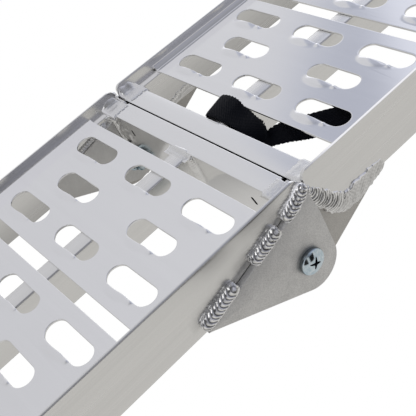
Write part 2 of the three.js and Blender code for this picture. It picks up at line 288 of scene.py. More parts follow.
def weld_metal(name, roughness, bump, crevice_shade):
    """Weld metal with shade painted in its crevices and highlights painted on its crests; the
    last argument is the brightness of the painted shade.
    """
    material, g = new_material(name)
    position = g.coordinate("Object")
    ripple = g.noise(position, scale=380.0, detail=3.0, roughness=0.55, distortion=0.6)
    speckle = g.noise(position, scale=1500.0, detail=2.0, roughness=0.6)
    # Pointiness paints shade into the crevices and highlights onto the crests
    crest_highlight = g.remap(g.geometry("Pointiness"), (0.44, 0.55), (0.0, 1.0))
    color = g.ramp(
        g.add(g.mul(crest_highlight, 0.8), g.mul(ripple, 0.25), clamp=True),
        [(0.0, (crevice_shade, crevice_shade * 0.98, crevice_shade * 0.95)),
         (0.4, (0.74, 0.735, 0.72)),
         (1.0, (0.96, 0.96, 0.965))])
    # "tone" is stored on the bead meshes: shade painted in the valleys, drifting soot, highlights
    # painted on the crests
    tone = g.node("ShaderNodeAttribute", attribute_name="tone").outputs["Fac"]
    g.output(g.principled(
        g.brightness(color, g.add(1.0, tone)), g.remap(ripple, (0.3, 0.7), roughness),
        height=g.add(ripple, g.mul(speckle, 0.2)), bump=bump, distance=0.0004,
        metallic=1.0).outputs[0])
    return material


def zinc(name, stops):
    """Zinc plating, with shade painted where the surface does not face along x."""
    material, g = new_material(name)
    position = g.coordinate("Object")
    mottle = g.noise(position, scale=260.0, detail=3.0, roughness=0.6, distortion=0.5)
    speckle = g.noise(position, scale=1800.0, detail=2.0, roughness=0.6)
    normal_x = g.separate(g.geometry("Normal"))[0]
    # shade painted where the surface turns away from x, such as the bolt head's rim
    side_shade = g.remap(g.math("ABSOLUTE", normal_x), (0.45, 0.75), (0.28, 1.0))
    g.output(g.principled(
        g.brightness(g.ramp(mottle, stops), side_shade), g.remap(mottle, (0.3, 0.7), (0.06, 0.13)),
        height=g.add(mottle, g.mul(speckle, 0.2)), bump=0.15, distance=0.0003,
        metallic=1.0).outputs[0])
    return material


def black_rubber(name):
    material, g = new_material(name)
    position = g.coordinate("Object")
    grain = g.noise(position, scale=900.0, detail=3.0, roughness=0.6)
    dust = g.noise(position, scale=40.0, detail=3.0, roughness=0.5)
    color = g.ramp(g.add(g.mul(grain, 0.5), g.mul(dust, 0.5)),
                   [(0.3, (0.012, 0.012, 0.012)), (0.7, (0.035, 0.035, 0.036))])
    g.output(g.principled(color, g.remap(grain, (0.3, 0.7), (0.62, 0.85)),
                          height=grain, bump=0.3, distance=0.0004).outputs[0])
    return material


def webbing(name):
    """Woven strap; the UV map runs along the band and across it, in metres."""
    material, g = new_material(name)
    turn = 2 * math.pi
    rib_pitch, stitch_pitch = 0.0021, 0.0026
    along, across, _ = g.separate(g.coordinate("UV"))
    warp = g.math("SINE", g.mul(across, turn / rib_pitch))
    # neighbouring ribs are half a stitch out of step
    phase = g.mul(g.math("FLOOR", g.div(across, rib_pitch / 2)), math.pi)
    weft = g.math("SINE", g.add(g.mul(along, turn / stitch_pitch), phase))
    weave = g.add(g.mul(g.math("ABSOLUTE", warp), 0.6), g.mul(weft, 0.4))
    fuzz = g.noise(g.coordinate("Object"), scale=2500.0, detail=2.0, roughness=0.7)
    color = g.ramp(g.add(g.mul(weave, 0.5), g.mul(fuzz, 0.4)),
                   [(0.1, (0.0005, 0.0005, 0.0008)),
                    (0.5, (0.002, 0.0022, 0.0032)),
                    (0.9, (0.010, 0.011, 0.017))])
    shader = g.principled(color, 0.5, height=g.add(weave, g.mul(fuzz, 0.3)),
                          bump=0.9, distance=0.0008)
    shader.inputs["Specular IOR Level"].default_value = 0.12
    g.feed(shader.inputs["Specular Tint"], (0.62, 0.70, 1.0))
    g.output(shader.outputs[0])
    return material


MILL = aluminium("mill_rail", (0.82, 0.815, 0.80), roughness=0.25, draw_axis="Y",
                 streak=0.75, grain=0.2, bump=0.035, is_rail=True)
CROSSBAR = aluminium("mill_crossbar", (0.87, 0.87, 0.87), roughness=0.16, draw_axis="X",
                     streak=0.25, grain=0.25, bump=0.05)
TREAD = aluminium("tread_sheet", (0.87, 0.87, 0.875), roughness=0.115, draw_axis="X",
                  streak=0.22, grain=0.25, bump=0.04)
NUT = zinc("zinc_nut", [(0.38, (0.05, 0.09, 0.11)), (0.5, (0.22, 0.33, 0.38)),
                        (0.62, (0.62, 0.76, 0.82))])
LEAF = plate_metal("leaf_plate", (0.685, 0.68, 0.665))
# darker copy of the leaf plate: shade painted on the upper leaf, which lies inboard of the outer
# leaf
SHADED_UPPER_LEAF = plate_metal("leaf_plate_upper_shaded", (0.545, 0.53, 0.50))
WELD = weld_metal("weld_bead", roughness=(0.10, 0.22), bump=0.12, crevice_shade=0.30)
PUDDLE = weld_metal("weld_puddle", roughness=(0.24, 0.36), bump=0.03, crevice_shade=0.9)
SPATTER = weld_metal("weld_spatter", roughness=(0.25, 0.40), bump=0.25, crevice_shade=0.85)
ZINC = zinc("zinc_plate", [(0.3, (0.50, 0.62, 0.70)), (0.55, (0.66, 0.76, 0.82)),
                           (0.75, (0.80, 0.86, 0.88))])
RUBBER = black_rubber("pad_rubber")
WEBBING = webbing("strap_webbing")


# ------------------------------------------------------------------ mesh tools


def finish(name, bm, material, body, node=None, sloped=False, smooth_angle=32):
    """sloped turns the piece down with the upper section; node is the CAD piece it replaces.
    """
    matrix = Matrix.Rotation(-TILT, 4, "X") if sloped else Matrix.Identity(4)
    matrix = Matrix.Translation((0, SEAM, 0)) @ matrix
    matrix = Matrix.Scale(0.001, 4) @ matrix
    bmesh.ops.transform(bm, matrix=matrix, verts=bm.verts)
    bmesh.ops.recalc_face_normals(bm, faces=bm.faces)
    obj = to_object(name, bm)
    mesh = obj.data
    mesh.materials.append(material)
    mesh.polygons.foreach_set("use_smooth", [True] * len(mesh.polygons))
    mesh.set_sharp_from_angle(angle=math.radians(smooth_angle))
    if node:
        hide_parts(node)
    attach(obj, body)


def to_object(name, bm):
    mesh = bpy.data.meshes.new(name)
    bm.to_mesh(mesh)
    bm.free()
    obj = bpy.data.objects.new(name, mesh)
    bpy.context.scene.collection.objects.link(obj)
    return obj


def wound(points, counterclockwise):
    points = [tuple(point) for point in points]
    following = points[1:] + points[:1]
    area = sum(x * after_y - after_x * y for (x, y), (after_x, after_y) in zip(points, following))
    return points if (area > 0) == counterclockwise else points[::-1]


def inset(points, distance):
    """Offset a closed loop to its left, mitred."""
    out = []
    count = len(points)
    for i in range(count):
        before, here, after = (Vector(points[k]) for k in (i - 1, i, (i + 1) % count))
        edge_in, edge_out = here - before, after - here
        if edge_in.length < 1e-9 or edge_out.length < 1e-9:
            out.append(tuple(here))
            continue
        edge_in.normalize()
        edge_out.normalize()
        normal = Vector((-edge_in.y, edge_in.x))
        miter = normal + Vector((-edge_out.y, edge_out.x))
        out.append(tuple(here + miter * (distance / max(miter.dot(normal), 0.25))))
    return out


def arc(center_x, center_y, radius, start, end, count):
    """Points on an arc from start to end, in degrees."""
    angles = [math.radians(start + (end - start) * i / count) for i in range(count + 1)]
    return [(center_x + radius * math.cos(angle), center_y + radius * math.sin(angle))
            for angle in angles]


def circle(center_x, center_y, radius, count):
    return arc(center_x, center_y, radius, 0, 360 * (count - 1) / count, count - 1)


def rounded_rectangle(x0, y0, x1, y1, radius):
    return [*arc(x1 - radius, y0 + radius, radius, -90, 0, 4),
            *arc(x1 - radius, y1 - radius, radius, 0, 90, 4),
            *arc(x0 + radius, y1 - radius, radius, 90, 180, 4),
            *arc(x0 + radius, y0 + radius, radius, 180, 270, 4)]


def soften(points, radii, steps=4):
    """Round each corner of a loop, with one radius each."""
    out = []
    for i, radius in enumerate(radii):
        before, corner, after = (Vector(points[k]) for k in (i - 1, i, (i + 1) % len(points)))
        reach = min(radius, (before - corner).length * 0.62, (after - corner).length * 0.62)
        start = corner + (before - corner).normalized() * reach
        end = corner + (after - corner).normalized() * reach
        for j in range(steps + 1):
            t = j / steps
            out.append(tuple((1 - t) ** 2 * start + 2 * t * (1 - t) * corner + t * t * end))
    return out


def loft(bm, rings):
    """Skin consecutive rings; a ring of one vertex is a pole. Returns the faces."""
    faces = []
    for first, second in zip(rings[:-1], rings[1:]):
        count = max(len(first), len(second))
        for i in range(count):
            j = (i + 1) % count
            if len(first) == 1:
                corners = (first[0], second[j], second[i])
            elif len(second) == 1:
                corners = (first[i], first[j], second[0])
            else:
                corners = (first[i], first[j], second[j], second[i])
            faces.append(bm.faces.new(corners))
    return faces


def cap(bm, loops, flip=False):
    """Fill an outer loop of vertices around its hole loops."""
    verts = [vert for loop in loops for vert in loop]
    for triangle in tessellate_polygon([[vert.co.copy() for vert in loop] for loop in loops]):
        corners = [verts[i] for i in triangle]
        if len(set(corners)) < 3:
            continue
        try:
            bm.faces.new(corners[::-1] if flip else corners)
        except ValueError:
            # the tessellator can repeat a triangle where points coincide
            pass


# outline and thickness axes (a, b, c) to space: "X" is (c, a, b), "Y" is (a, c, b)
AXES = {
    "X": Matrix(((0, 0, 1, 0), (1, 0, 0, 0), (0, 1, 0, 0), (0, 0, 0, 1))),
    "Y": Matrix(((1, 0, 0, 0), (0, 0, 1, 0), (0, 1, 0, 0), (0, 0, 0, 1))),
}


def extrude(axis, outline, span, holes=(), edge=0.0001, steps=1):
    """Closed plate with softened edges. Outlines are (y, z) for X, (x, z) for Y, (x, y) for Z."""
    bm = bmesh.new()
    low, high = span
    levels = []                         # (inset, position along the axis)
    for i in range(steps + 1):
        angle = math.pi / 2 * i / steps
        levels.append((edge * (1 - math.sin(angle)), low + edge * (1 - math.cos(angle))))
    levels += [(depth, high + low - level) for depth, level in levels[::-1]]
    stacks = []
    for loop in [wound(outline, True)] + [wound(hole, False) for hole in holes]:
        rings = []
        for depth, level in levels:
            points = inset(loop, depth) if depth > 1e-9 else loop
            rings.append([bm.verts.new((x, y, level)) for x, y in points])
        stacks.append(rings)
        loft(bm, rings)
    cap(bm, [rings[0] for rings in stacks], flip=True)
    cap(bm, [rings[-1] for rings in stacks])
    if axis != "Z":
        bmesh.ops.transform(bm, matrix=AXES[axis], verts=bm.verts)
        bmesh.ops.recalc_face_normals(bm, faces=bm.faces)
    return bm


def cut_away(bm, cutters):
    """Exact boolean difference."""
    objects = []
    for piece in [bm, *cutters]:
        bmesh.ops.recalc_face_normals(piece, faces=piece.faces)
        objects.append(to_object("cut_piece", piece))
    base = objects[0]
    for cutter in objects[1:]:
        modifier = base.modifiers.new("cut", "BOOLEAN")
        modifier.operation = "DIFFERENCE"
        modifier.solver = "EXACT"
        modifier.object = cutter
    depsgraph = bpy.context.evaluated_depsgraph_get()
    result = bpy.data.meshes.new_from_object(base.evaluated_get(depsgraph))
    out = bmesh.new()
    out.from_mesh(result)
    for obj in objects:
        mesh = obj.data
        bpy.data.objects.remove(obj)
        bpy.data.meshes.remove(mesh)
    bpy.data.meshes.remove(result)
    bmesh.ops.remove_doubles(out, verts=out.verts, dist=1e-4)
    return out


def on_side(bm, side):
    """Mirror a right-hand piece when it belongs on the left."""
    if side < 0:
        bmesh.ops.transform(bm, matrix=Matrix.Scale(-1, 4, (1, 0, 0)), verts=bm.verts)
        bmesh.ops.reverse_faces(bm, faces=bm.faces)
    return bm


# ------------------------------------------------------------------ tread panels
SLOT_HALF_LENGTH, SLOT_HALF_WIDTH = 30.5, 10.3
PANEL_COUNT, PANEL_LENGTH, PANEL_PITCH = 7, 135.8, 149.0
ROW_X = ((-89.0, 0.0, 89.0), (-61.8, 61.8), (-89.0, 0.0, 89.0))     # slot centres by row
ROW_PITCH = 42.0
SHEET = 2.0
# start: first panel from the seam; row: first slot row from the panel's start;
# collar: outermost ring round a slot; lip, lip_depth, dimple: sizes of the pressed lip;
# half: half width; edge_x, edge_rise, edge_power: upturn of the long edges
TREADS = {
    LOWER: dict(start=38.9, row=24.5, collar=9.2, lip=0.9, lip_depth=9.1, dimple=1.1,
                half=137.2, edge_x=131.4, edge_rise=1.5, edge_power=1.5),
    UPPER: dict(start=49.6, row=26.4, collar=9.8, lip=1.9, lip_depth=9.3, dimple=1.3,
                half=136.7, edge_x=132.4, edge_rise=4.7, edge_power=2.0),
}
# (inset, z) round the sheet's edge
SHEET_EDGE = [(0.45, 0.0), (0.2, -0.06), (0.05, -0.2), (0.0, -0.45),
              (0.0, -1.6), (0.12, -1.88), (0.4, -SHEET)]


def sheet_levels(insets):
    """(inset, z) from the top face round the edge to the bottom face."""
    return ([(distance, 0.0) for distance in insets] + SHEET_EDGE
            + [(distance, -SHEET) for distance in insets[::-1]])


def stadium(center_x, center_y, offset, end_count=14, side_count=16):
    half = SLOT_HALF_LENGTH - SLOT_HALF_WIDTH
    radius = SLOT_HALF_WIDTH + offset
    steps = [2 * half * i / side_count for i in range(1, side_count)]
    points = arc(center_x + half, center_y, radius, -90, 90, end_count)
    points += [(center_x + half - step, center_y + radius) for step in steps]
    points += arc(center_x - half, center_y, radius, 90, 270, end_count)
    points += [(center_x - half + step, center_y - radius) for step in steps]
    return points


def lip_height(tread, along, away):
    """Pressed half-moon and dimple beside a slot's -y edge."""
    radius = ((along + 7.0) / 19.0) ** 2 + (max(away, 0.0) / tread["lip_depth"]) ** 2
    z = tread["lip"] * (1 - radius) ** 1.15 if radius < 1 else 0.0
    radius = ((along - 12.6) / 3.4) ** 2 + ((away - 1.6) / 3.2) ** 2
    if radius < 1:
        z += tread["dimple"] * (1 - radius) ** 1.5
    return z


def slot_rings(bm, section, center_x, center_y):
    tread = TREADS[section]
    rings = []
    for offset, level in sheet_levels([tread["collar"], 8.4, 7.0, 5.6, 4.2, 2.8, 1.5]):
        ring = []
        for x, y in stadium(center_x, center_y, offset):
            along, away = x - center_x, (center_y - y) - SLOT_HALF_WIDTH
            rise = shift = 0.0
            if y < center_y:
                rise = lip_height(tread, along, away)
                if section == LOWER and -30 < along < 4 and away > -9:
                    # the lower lips push the slot's edge out towards -y
                    bulge = max(0.0, 1 - ((along + 13) / 14) ** 2)
                    shift = -bulge * max(0.0, 1 - abs(away) / 9)
            ring.append(bm.verts.new((x, y + shift, level + rise)))
        rings.append(ring)
    loft(bm, rings)
    return rings


def border_rings(bm, tread, near, far):
    half, edge_x = tread["half"], tread["edge_x"]
    margins = (0, 0.5, 1.1, 1.9, 2.8, 4.0, 5.8)
    xs = ([-half + margin for margin in margins] + [-100, -60, -20, 20, 60, 100]
          + [half - margin for margin in margins[::-1]])
    ys = [near + (far - near) * i / 8 for i in range(9)]
    border = ([(x, near) for x in xs[:-1]] + [(half, y) for y in ys[:-1]]
              + [(x, far) for x in xs[:0:-1]] + [(-half, y) for y in ys[:0:-1]])
    rings = []
    for margin, level in sheet_levels([6.0, 4.6, 3.4, 2.4, 1.6, 0.95]):
        # wide insets shrink less along y
        margin_y = margin if margin < 2.5 else 2.5 + (margin - 2.5) * 0.5
        ring = []
        for x, y in border:
            x = min(max(x, margin - half), half - margin)
            y = min(max(y, near + margin_y), far - margin_y)
            outward = max(0.0, abs(x) - edge_x) / (half - edge_x)
            lift = tread["edge_rise"] * outward ** tread["edge_power"]
            ring.append(bm.verts.new((x, y, level + lift)))
        rings.append(ring)
    loft(bm, rings)
    return rings


def tread_panel(section, index):
    tread, sign = TREADS[section], SIGN[section]
    start = tread["start"] + index * PANEL_PITCH
    bm = bmesh.new()
    slots = []
    for row, centers in enumerate(ROW_X):
        y = sign * (start + tread["row"] + row * ROW_PITCH)
        slots += [slot_rings(bm, section, x, y) for x in centers]
    border = border_rings(bm, tread, *sorted((sign * start, sign * (start + PANEL_LENGTH))))
    for end in (0, -1):
        cap(bm, [border[end]] + [rings[end][::-1] for rings in slots])
    bmesh.ops.remove_doubles(bm, verts=bm.verts, dist=1e-4)
    node = f"tread_panel_{section.removesuffix('_section')}_{index + 1}"
    finish("punched_" + node, bm, TREAD, section, node,
           sloped=section == UPPER, smooth_angle=40)


for section in (LOWER, UPPER):
    for index in range(PANEL_COUNT):
        tread_panel(section, index)

# ------------------------------------------------------------------ side rails
RAIL_OUT, RAIL_IN = 140.5, 128.2        # outboard and inboard faces of the right rail
RAIL_BOTTOM, LIP_TOP, LEDGE = -44.5, 12.4, -2.3     # heights; the tread lies on the ledge
WALL, LIP_THICKNESS = 2.8, 3.0
LEDGE_THICKNESS = 3.0
SEAM_GAP, SECTION_LENGTH = 1.7, 1105.0


def rail(section, side, tag):
    sign, is_upper = SIGN[section], section == UPPER
    cavity_in, cavity_out = RAIL_IN + WALL, RAIL_OUT - WALL
    lip_in = RAIL_OUT - LIP_THICKNESS
    profile = [(RAIL_IN, RAIL_BOTTOM), (RAIL_OUT, RAIL_BOTTOM), (RAIL_OUT, LIP_TOP),
               (lip_in, LIP_TOP), (lip_in, LEDGE), (RAIL_IN, LEDGE)]
    radii = [1.0, 1.0, 1.1, 2.3, 0.4, 0.7] if is_upper else [1.0, 1.0, 2.3, 0.6, 0.4, 0.7]
    floor, ceiling = RAIL_BOTTOM + WALL, LEDGE - LEDGE_THICKNESS
    cavity = [(cavity_in, floor), (cavity_out, floor),
              (cavity_out, ceiling), (cavity_in, ceiling)]
    span = sorted((sign * SEAM_GAP, sign * SECTION_LENGTH))
    bm = extrude("Y", soften(profile, radii), span, [soften(cavity, [0.6] * 4)], edge=0.15)

    def side_cutter(points):
        """Cutter through the whole rail; points are (distance from the seam, z)."""
        if not is_upper:
            points = [(-y, z) for y, z in points][::-1]
        return extrude("X", points, (100, 180))

    # rounded lip corner at the seam
    radius = 7.0 if is_upper else 9.5
    turn = LIP_TOP - radius
    cutters = [side_cutter(
        [(-3, 30), (-3, turn), (SEAM_GAP, turn)]
        + arc(SEAM_GAP + radius, turn, radius, 180, 90, 16)[1:]
        + [(SEAM_GAP + radius, 30)])]
    # open slot in the rail's floor beside the seam
    near, far = sorted((sign * -5, sign * (92 if is_upper else 74)))
    cutters.append(extrude(
        "Z", [(cavity_in, near), (cavity_out, near), (cavity_out, far), (cavity_in, far)],
        (RAIL_BOTTOM - 5, floor + 0.5)))
    if is_upper:
        # mitred end at the seam
        cutters.append(side_cutter([(-10, -1.5), (1.0, -1.5), (3.2, -5), (36, RAIL_BOTTOM - 1),
                                    (36, RAIL_BOTTOM - 8), (-10, RAIL_BOTTOM - 8)]))
    # lip tapered down at the far end
    end = SECTION_LENGTH
    cutters.append(side_cutter([
        (end - 34, LIP_TOP + 8), (end - 34, LIP_TOP + 0.01), (end - 30, LIP_TOP - 0.8),
        (end - 4, LEDGE + 1.5), (end + 8, LEDGE + 1.5), (end + 8, LIP_TOP + 8)]))
    if not is_upper:
        # bottom corner cut off at the ground end
        cutters.append(side_cutter([
            (end - 30, RAIL_BOTTOM - 6), (end + 8, RAIL_BOTTOM - 6),
            (end + 8, RAIL_BOTTOM + 20), (end - 30, RAIL_BOTTOM - 0.01)]))
    node = f"{section.removesuffix('_section')}_rail_{tag}"
    finish("extruded_" + node, on_side(cut_away(bm, cutters), side), MILL, section,
           node, sloped=is_upper, smooth_angle=30)


for section in (LOWER, UPPER):
    for side, tag in SIDES:
        rail(section, side, tag)

# ------------------------------------------------------------------ crossbars and stringers
BAR_BOTTOM, BAR_HALF, BAR_WALL = -41.0, 127.9, 2
LOWER_BAR_Y = -21.1                     # lower hinge crossbar's face away from the seam
UPPER_BAR_Y = 22.3                      # upper hinge crossbar's face away from the seam
END_Y, END_BAR_Y = 1101.2, 1081.0       # end crossbars' outer and inner faces
STRINGER_HALF, STRINGER_BOTTOM = 10.1, -42.3
GAP = 0.3                               # clearance between butted pieces


def crossbar_tube(near, far, radius=1.3):
    hole = rounded_rectangle(near + BAR_WALL, BAR_BOTTOM + BAR_WALL,
                             far - BAR_WALL, -BAR_WALL, 0.6)
    return extrude("X", rounded_rectangle(near, BAR_BOTTOM, far, 0.0, radius),
                   (-BAR_HALF, BAR_HALF), [hole], edge=0.2)


def stringer_tube(near, far):
    outer = rounded_rectangle(-STRINGER_HALF, STRINGER_BOTTOM, STRINGER_HALF, LEDGE, 1.6)
    hole = rounded_rectangle(2 - STRINGER_HALF, STRINGER_BOTTOM + 2, STRINGER_HALF - 2,
                             LEDGE - 2, 0.8)
    return extrude("Y", outer, (near, far), [hole], edge=0.2)


def slit_cutter(x, z, angle, length, width):
    """Slanted slit through the lower hinge crossbar's face away from the seam."""
    cosine, sine = math.cos(math.radians(angle)), math.sin(math.radians(angle))
    loop = rounded_rectangle(-length / 2, -width / 2, length / 2, width / 2, width * 0.49)
    points = [(x + along * cosine - across * sine, z + along * sine + across * cosine)
              for along, across in loop]
    return extrude("Y", points, (-25, -18.5))


def pit_cutter(x, y, radius_x, radius_y):
    """Oval opening through the crossbar's top."""
    angles = [2 * math.pi * i / 20 for i in range(20)]
    return extrude("Z", [(x + radius_x * math.cos(angle), y + radius_y * math.sin(angle))
                         for angle in angles], (-6, 3))


lower_bar = cut_away(crossbar_tube(LOWER_BAR_Y, -0.75, radius=0.8), [
    slit_cutter(92.4, -20.8, angle=-58, length=8.6, width=4.0),
    slit_cutter(-92.6, -14.8, angle=-80, length=7.6, width=3.2),
    pit_cutter(121, -1.6, 4.4, 1.9),
    pit_cutter(-121, -1.6, 4.4, 1.9)])
for node, bm, section in (
        ("hinge_crossbar_lower", lower_bar, LOWER),
        ("hinge_crossbar_upper", crossbar_tube(0.75, UPPER_BAR_Y, radius=0.8), UPPER),
        ("ground_end_crossbar", crossbar_tube(-END_Y, -END_BAR_Y), LOWER),
        ("top_end_crossbar", crossbar_tube(END_BAR_Y, END_Y), UPPER)):
    finish("box_" + node, bm, CROSSBAR, section, node,
           sloped=section == UPPER)
for node, span, section in (
        ("centre_stringer_lower", (GAP - END_BAR_Y, LOWER_BAR_Y - GAP), LOWER),
        ("centre_stringer_upper", (UPPER_BAR_Y + GAP, END_BAR_Y - GAP), UPPER)):
    finish("box_" + node, stringer_tube(*span), MILL, section, node,
           sloped=section == UPPER)

# ------------------------------------------------------------------ hinge leaves
BORE = circle(PIVOT_Y, PIVOT_Z, 5.4, 40)
# name, outline in (y, z), x span on the right side, body, material
LEAVES = (
    ("outer",
     [(-1.5, -2.9), (-127.5, -38.4), (-130.5, -40.2), (-127.5, -41.4),
      *arc(-22, -69.3, 25.3, 241.9, 363, 40), (2.0, -26)],
     (140.8, 146.8), LOWER, LEAF),
    ("inner",
     [(-24.5, -8), (-118, -24), (-118, -40),
      *arc(PIVOT_Y, PIVOT_Z, 24, 242, 415, 48), (-24.5, -42.3)],
     (121.9, 127.9), LOWER, LEAF),
    ("upper",
     [(-24.5, -46.0), (-0.6, -45.6), (5.2, -14), (12, -9.5), (74, -9.5), (89.0, -44.8),
      (89.0, -46.6), (-15.4, -93.7), *arc(-27, -70, 24, 292, 210, 18),
      *arc(PIVOT_Y, PIVOT_Z, 15.6, 200, 90, 18)],
     (131.6, 137.1), UPPER, SHADED_UPPER_LEAF),
)
for side, tag in SIDES:
    for name, outline, span, body, material in LEAVES:
        bm = on_side(extrude("X", outline, span, [BORE], edge=0.45, steps=2), side)
        node = f"hinge_leaf_{name}_{tag}"
        finish("plate_" + node, bm, material, body, node)

# ------------------------------------------------------------------ fasteners


def pivot_ring(bm, x, radii):
    """Ring round the pivot axis, one radius for each vertex."""
    turn = 2 * math.pi / len(radii)
    return [bm.verts.new((x, PIVOT_Y + radius * math.cos(turn * i),
                          PIVOT_Z + radius * math.sin(turn * i)))
            for i, radius in enumerate(radii)]


def recess_arm(head_x, angle):
    """One tapered arm of the cross recess; narrow at its foot, waisted at its ends."""
    cosine, sine = math.cos(angle), math.sin(angle)
    bm = bmesh.new()
    verts = []
    for x, length, width in ((head_x + 3.0, 2.2, 0.7), (head_x + 7.4, 7.8, 1.75)):
        tip = 0.3 * width
        for along, across in ((-length, -tip), (0, -width), (length, -tip),
                              (length, tip), (0, width), (-length, tip)):
            verts.append(bm.verts.new((x, PIVOT_Y + along * cosine - across * sine,
                                       PIVOT_Z + along * sine + across * cosine)))
    bm.faces.new(verts[0:6][::-1])
    bm.faces.new(verts[6:12])
    loft(bm, [verts[0:6], verts[6:12]])
    return bm


def bolt(side, tag):
    head_x, shank, head_height = 147.0, 4.75, 6.9
    profile = [(0, 104.4), (3.9, 104.4), (4.3, 105.0)]          # (radius, x)
    for i in range(5):
        profile += [(shank, 105.5 + 1.5 * i), (4.15, 106.25 + 1.5 * i)]
    profile += [(shank, 112.6), (shank, head_x), (12.1, head_x), (12.45, head_x + 0.3),
                (12.55, head_x + 0.9), (12.55, head_x + 1.9)]
    for i in range(1, 9):
        angle = i / 8 * math.radians(68)
        profile.append((10.25 + 2.3 * math.cos(angle), head_x + 2.0 + 2.3 * math.sin(angle)))
    rim_radius, rim_x = profile[-1]
    for i in range(1, 10):
        t = i / 9
        crown = (head_x + head_height - rim_x) * (1 - (1 - t) ** 2)
        profile.append((rim_radius * (1 - t), rim_x + crown))
    bm = bmesh.new()
    loft(bm, [pivot_ring(bm, x, [radius] * (64 if radius else 1)) for radius, x in profile])
    bmesh.ops.recalc_face_normals(bm, faces=bm.faces)
    turn = math.radians(-26)
    bm = cut_away(bm, [recess_arm(head_x, turn + math.radians(arm)) for arm in (0, 90)])
    node = f"hinge_bolt_{tag}"
    finish("pan_head_" + node, on_side(bm, side), ZINC, LOWER, node,
           smooth_angle=28)


def nut(side, tag):
    """Hexagonal nut with a round collar on its inboard end."""
    near, far, count = 110.75, 119.65, 48
    apothem, corner = 7.4, 8.35
    angles = [2 * math.pi * i / count for i in range(count)]
    hexagon = [apothem / math.cos(((angle - 0.26) % (math.pi / 3)) - math.pi / 6)
               for angle in angles]
    bm = bmesh.new()
    rings = [pivot_ring(bm, x, [radius] * count)
             for x, radius in ((near - 3.3, 6.1), (near - 3.1, 6.5), (near - 0.4, 6.9))]
    for x, scale in ((near, 0.86), (near + 0.7, 1.0), (far - 0.7, 1.0), (far, 0.93)):
        rings.append(pivot_ring(bm, x, [min(radius, corner * scale) for radius in hexagon]))
    rings += [pivot_ring(bm, x, [radius] * count)
              for x, radius in ((far, 5.3), (far - 0.5, 5.0), (near - 2.8, 5.0),
                                (near - 3.3, 5.3))]
    loft(bm, rings + rings[:1])
    bmesh.ops.recalc_face_normals(bm, faces=bm.faces)
    node = f"hinge_nut_{tag}"
    finish("hex_" + node, on_side(bm, side), NUT, LOWER, node, smooth_angle=25)


# name, x span on the right side, radius
HINGE_RINGS = (
    ("hinge_washer", (119.9, 121.7), 11.0),
    ("hinge_spacer_outer", (137.3, 140.6), 10.5),
    ("hinge_spacer_inner", (128.1, 131.4), 10.5),
)
for side, tag in SIDES:
    bolt(side, tag)
    nut(side, tag)
    for name, span, radius in HINGE_RINGS:
        outline = circle(PIVOT_Y, PIVOT_Z, radius, 56)
        bm = on_side(extrude("X", outline, span, [BORE], edge=0.3, steps=2), side)
        node = f"{name}_{tag}"
        finish("round_" + node, bm, ZINC, LOWER, node)

# ------------------------------------------------------------------ weld tools
BEAD_STEP = 0.4                         # spacing of a bead's rings
BOW = 1.15                              # how far the ripples bow along the bead


def resample(path, step):
    """Evenly spaced, smoothed (point, distance) pairs, and the path's length."""
    points = [Vector(point) for point in path]
    distances = [0.0]
    for start, end in zip(points[:-1], points[1:]):
        distances.append(distances[-1] + (end - start).length)
    length = distances[-1]
    count = max(8, int(length / step))
    runs = [length * i / count for i in range(count + 1)]
    out = []
    for run in runs:
        j = 0
        while j < len(distances) - 2 and distances[j + 1] < run:
            j += 1
        t = (run - distances[j]) / max(distances[j + 1] - distances[j], 1e-9)
        out.append(points[j].lerp(points[j + 1], t))
    for _ in range(3):
        middle = [(out[i - 1] + out[i] * 2 + out[i + 1]) / 4 for i in range(1, count)]
        out = [out[0], *middle, out[-1]]
    return list(zip(out, runs)), length


def lookup(table, t):
    """Interpolate a table of (fraction, value); a plain number stands for itself."""
    if not isinstance(table, (list, tuple)):
        return table
    for (start, start_value), (end, end_value) in zip(table[:-1], table[1:]):
        if t <= end:
            share = max(0.0, t - start) / max(end - start, 1e-9)
            return start_value + (end_value - start_value) * share
    return table[-1][1]


def smoothstep(t):
    t = max(0.0, min(1.0, t))
    return t * t * (3 - 2 * t)


def wave(x, y, seed):
    """Sum of seven random plane waves."""
    rng = random.Random(seed)
    z = 0.0
    for _ in range(7):
        angle = rng.uniform(0, 2 * math.pi)
        frequency = rng.uniform(0.5, 1.9)
        phase = rng.uniform(0, 2 * math.pi)
        swing = (x * math.cos(angle) + y * math.sin(angle)) * frequency + phase
        z += math.sin(swing) / (1 + frequency)
    return z / 3.0


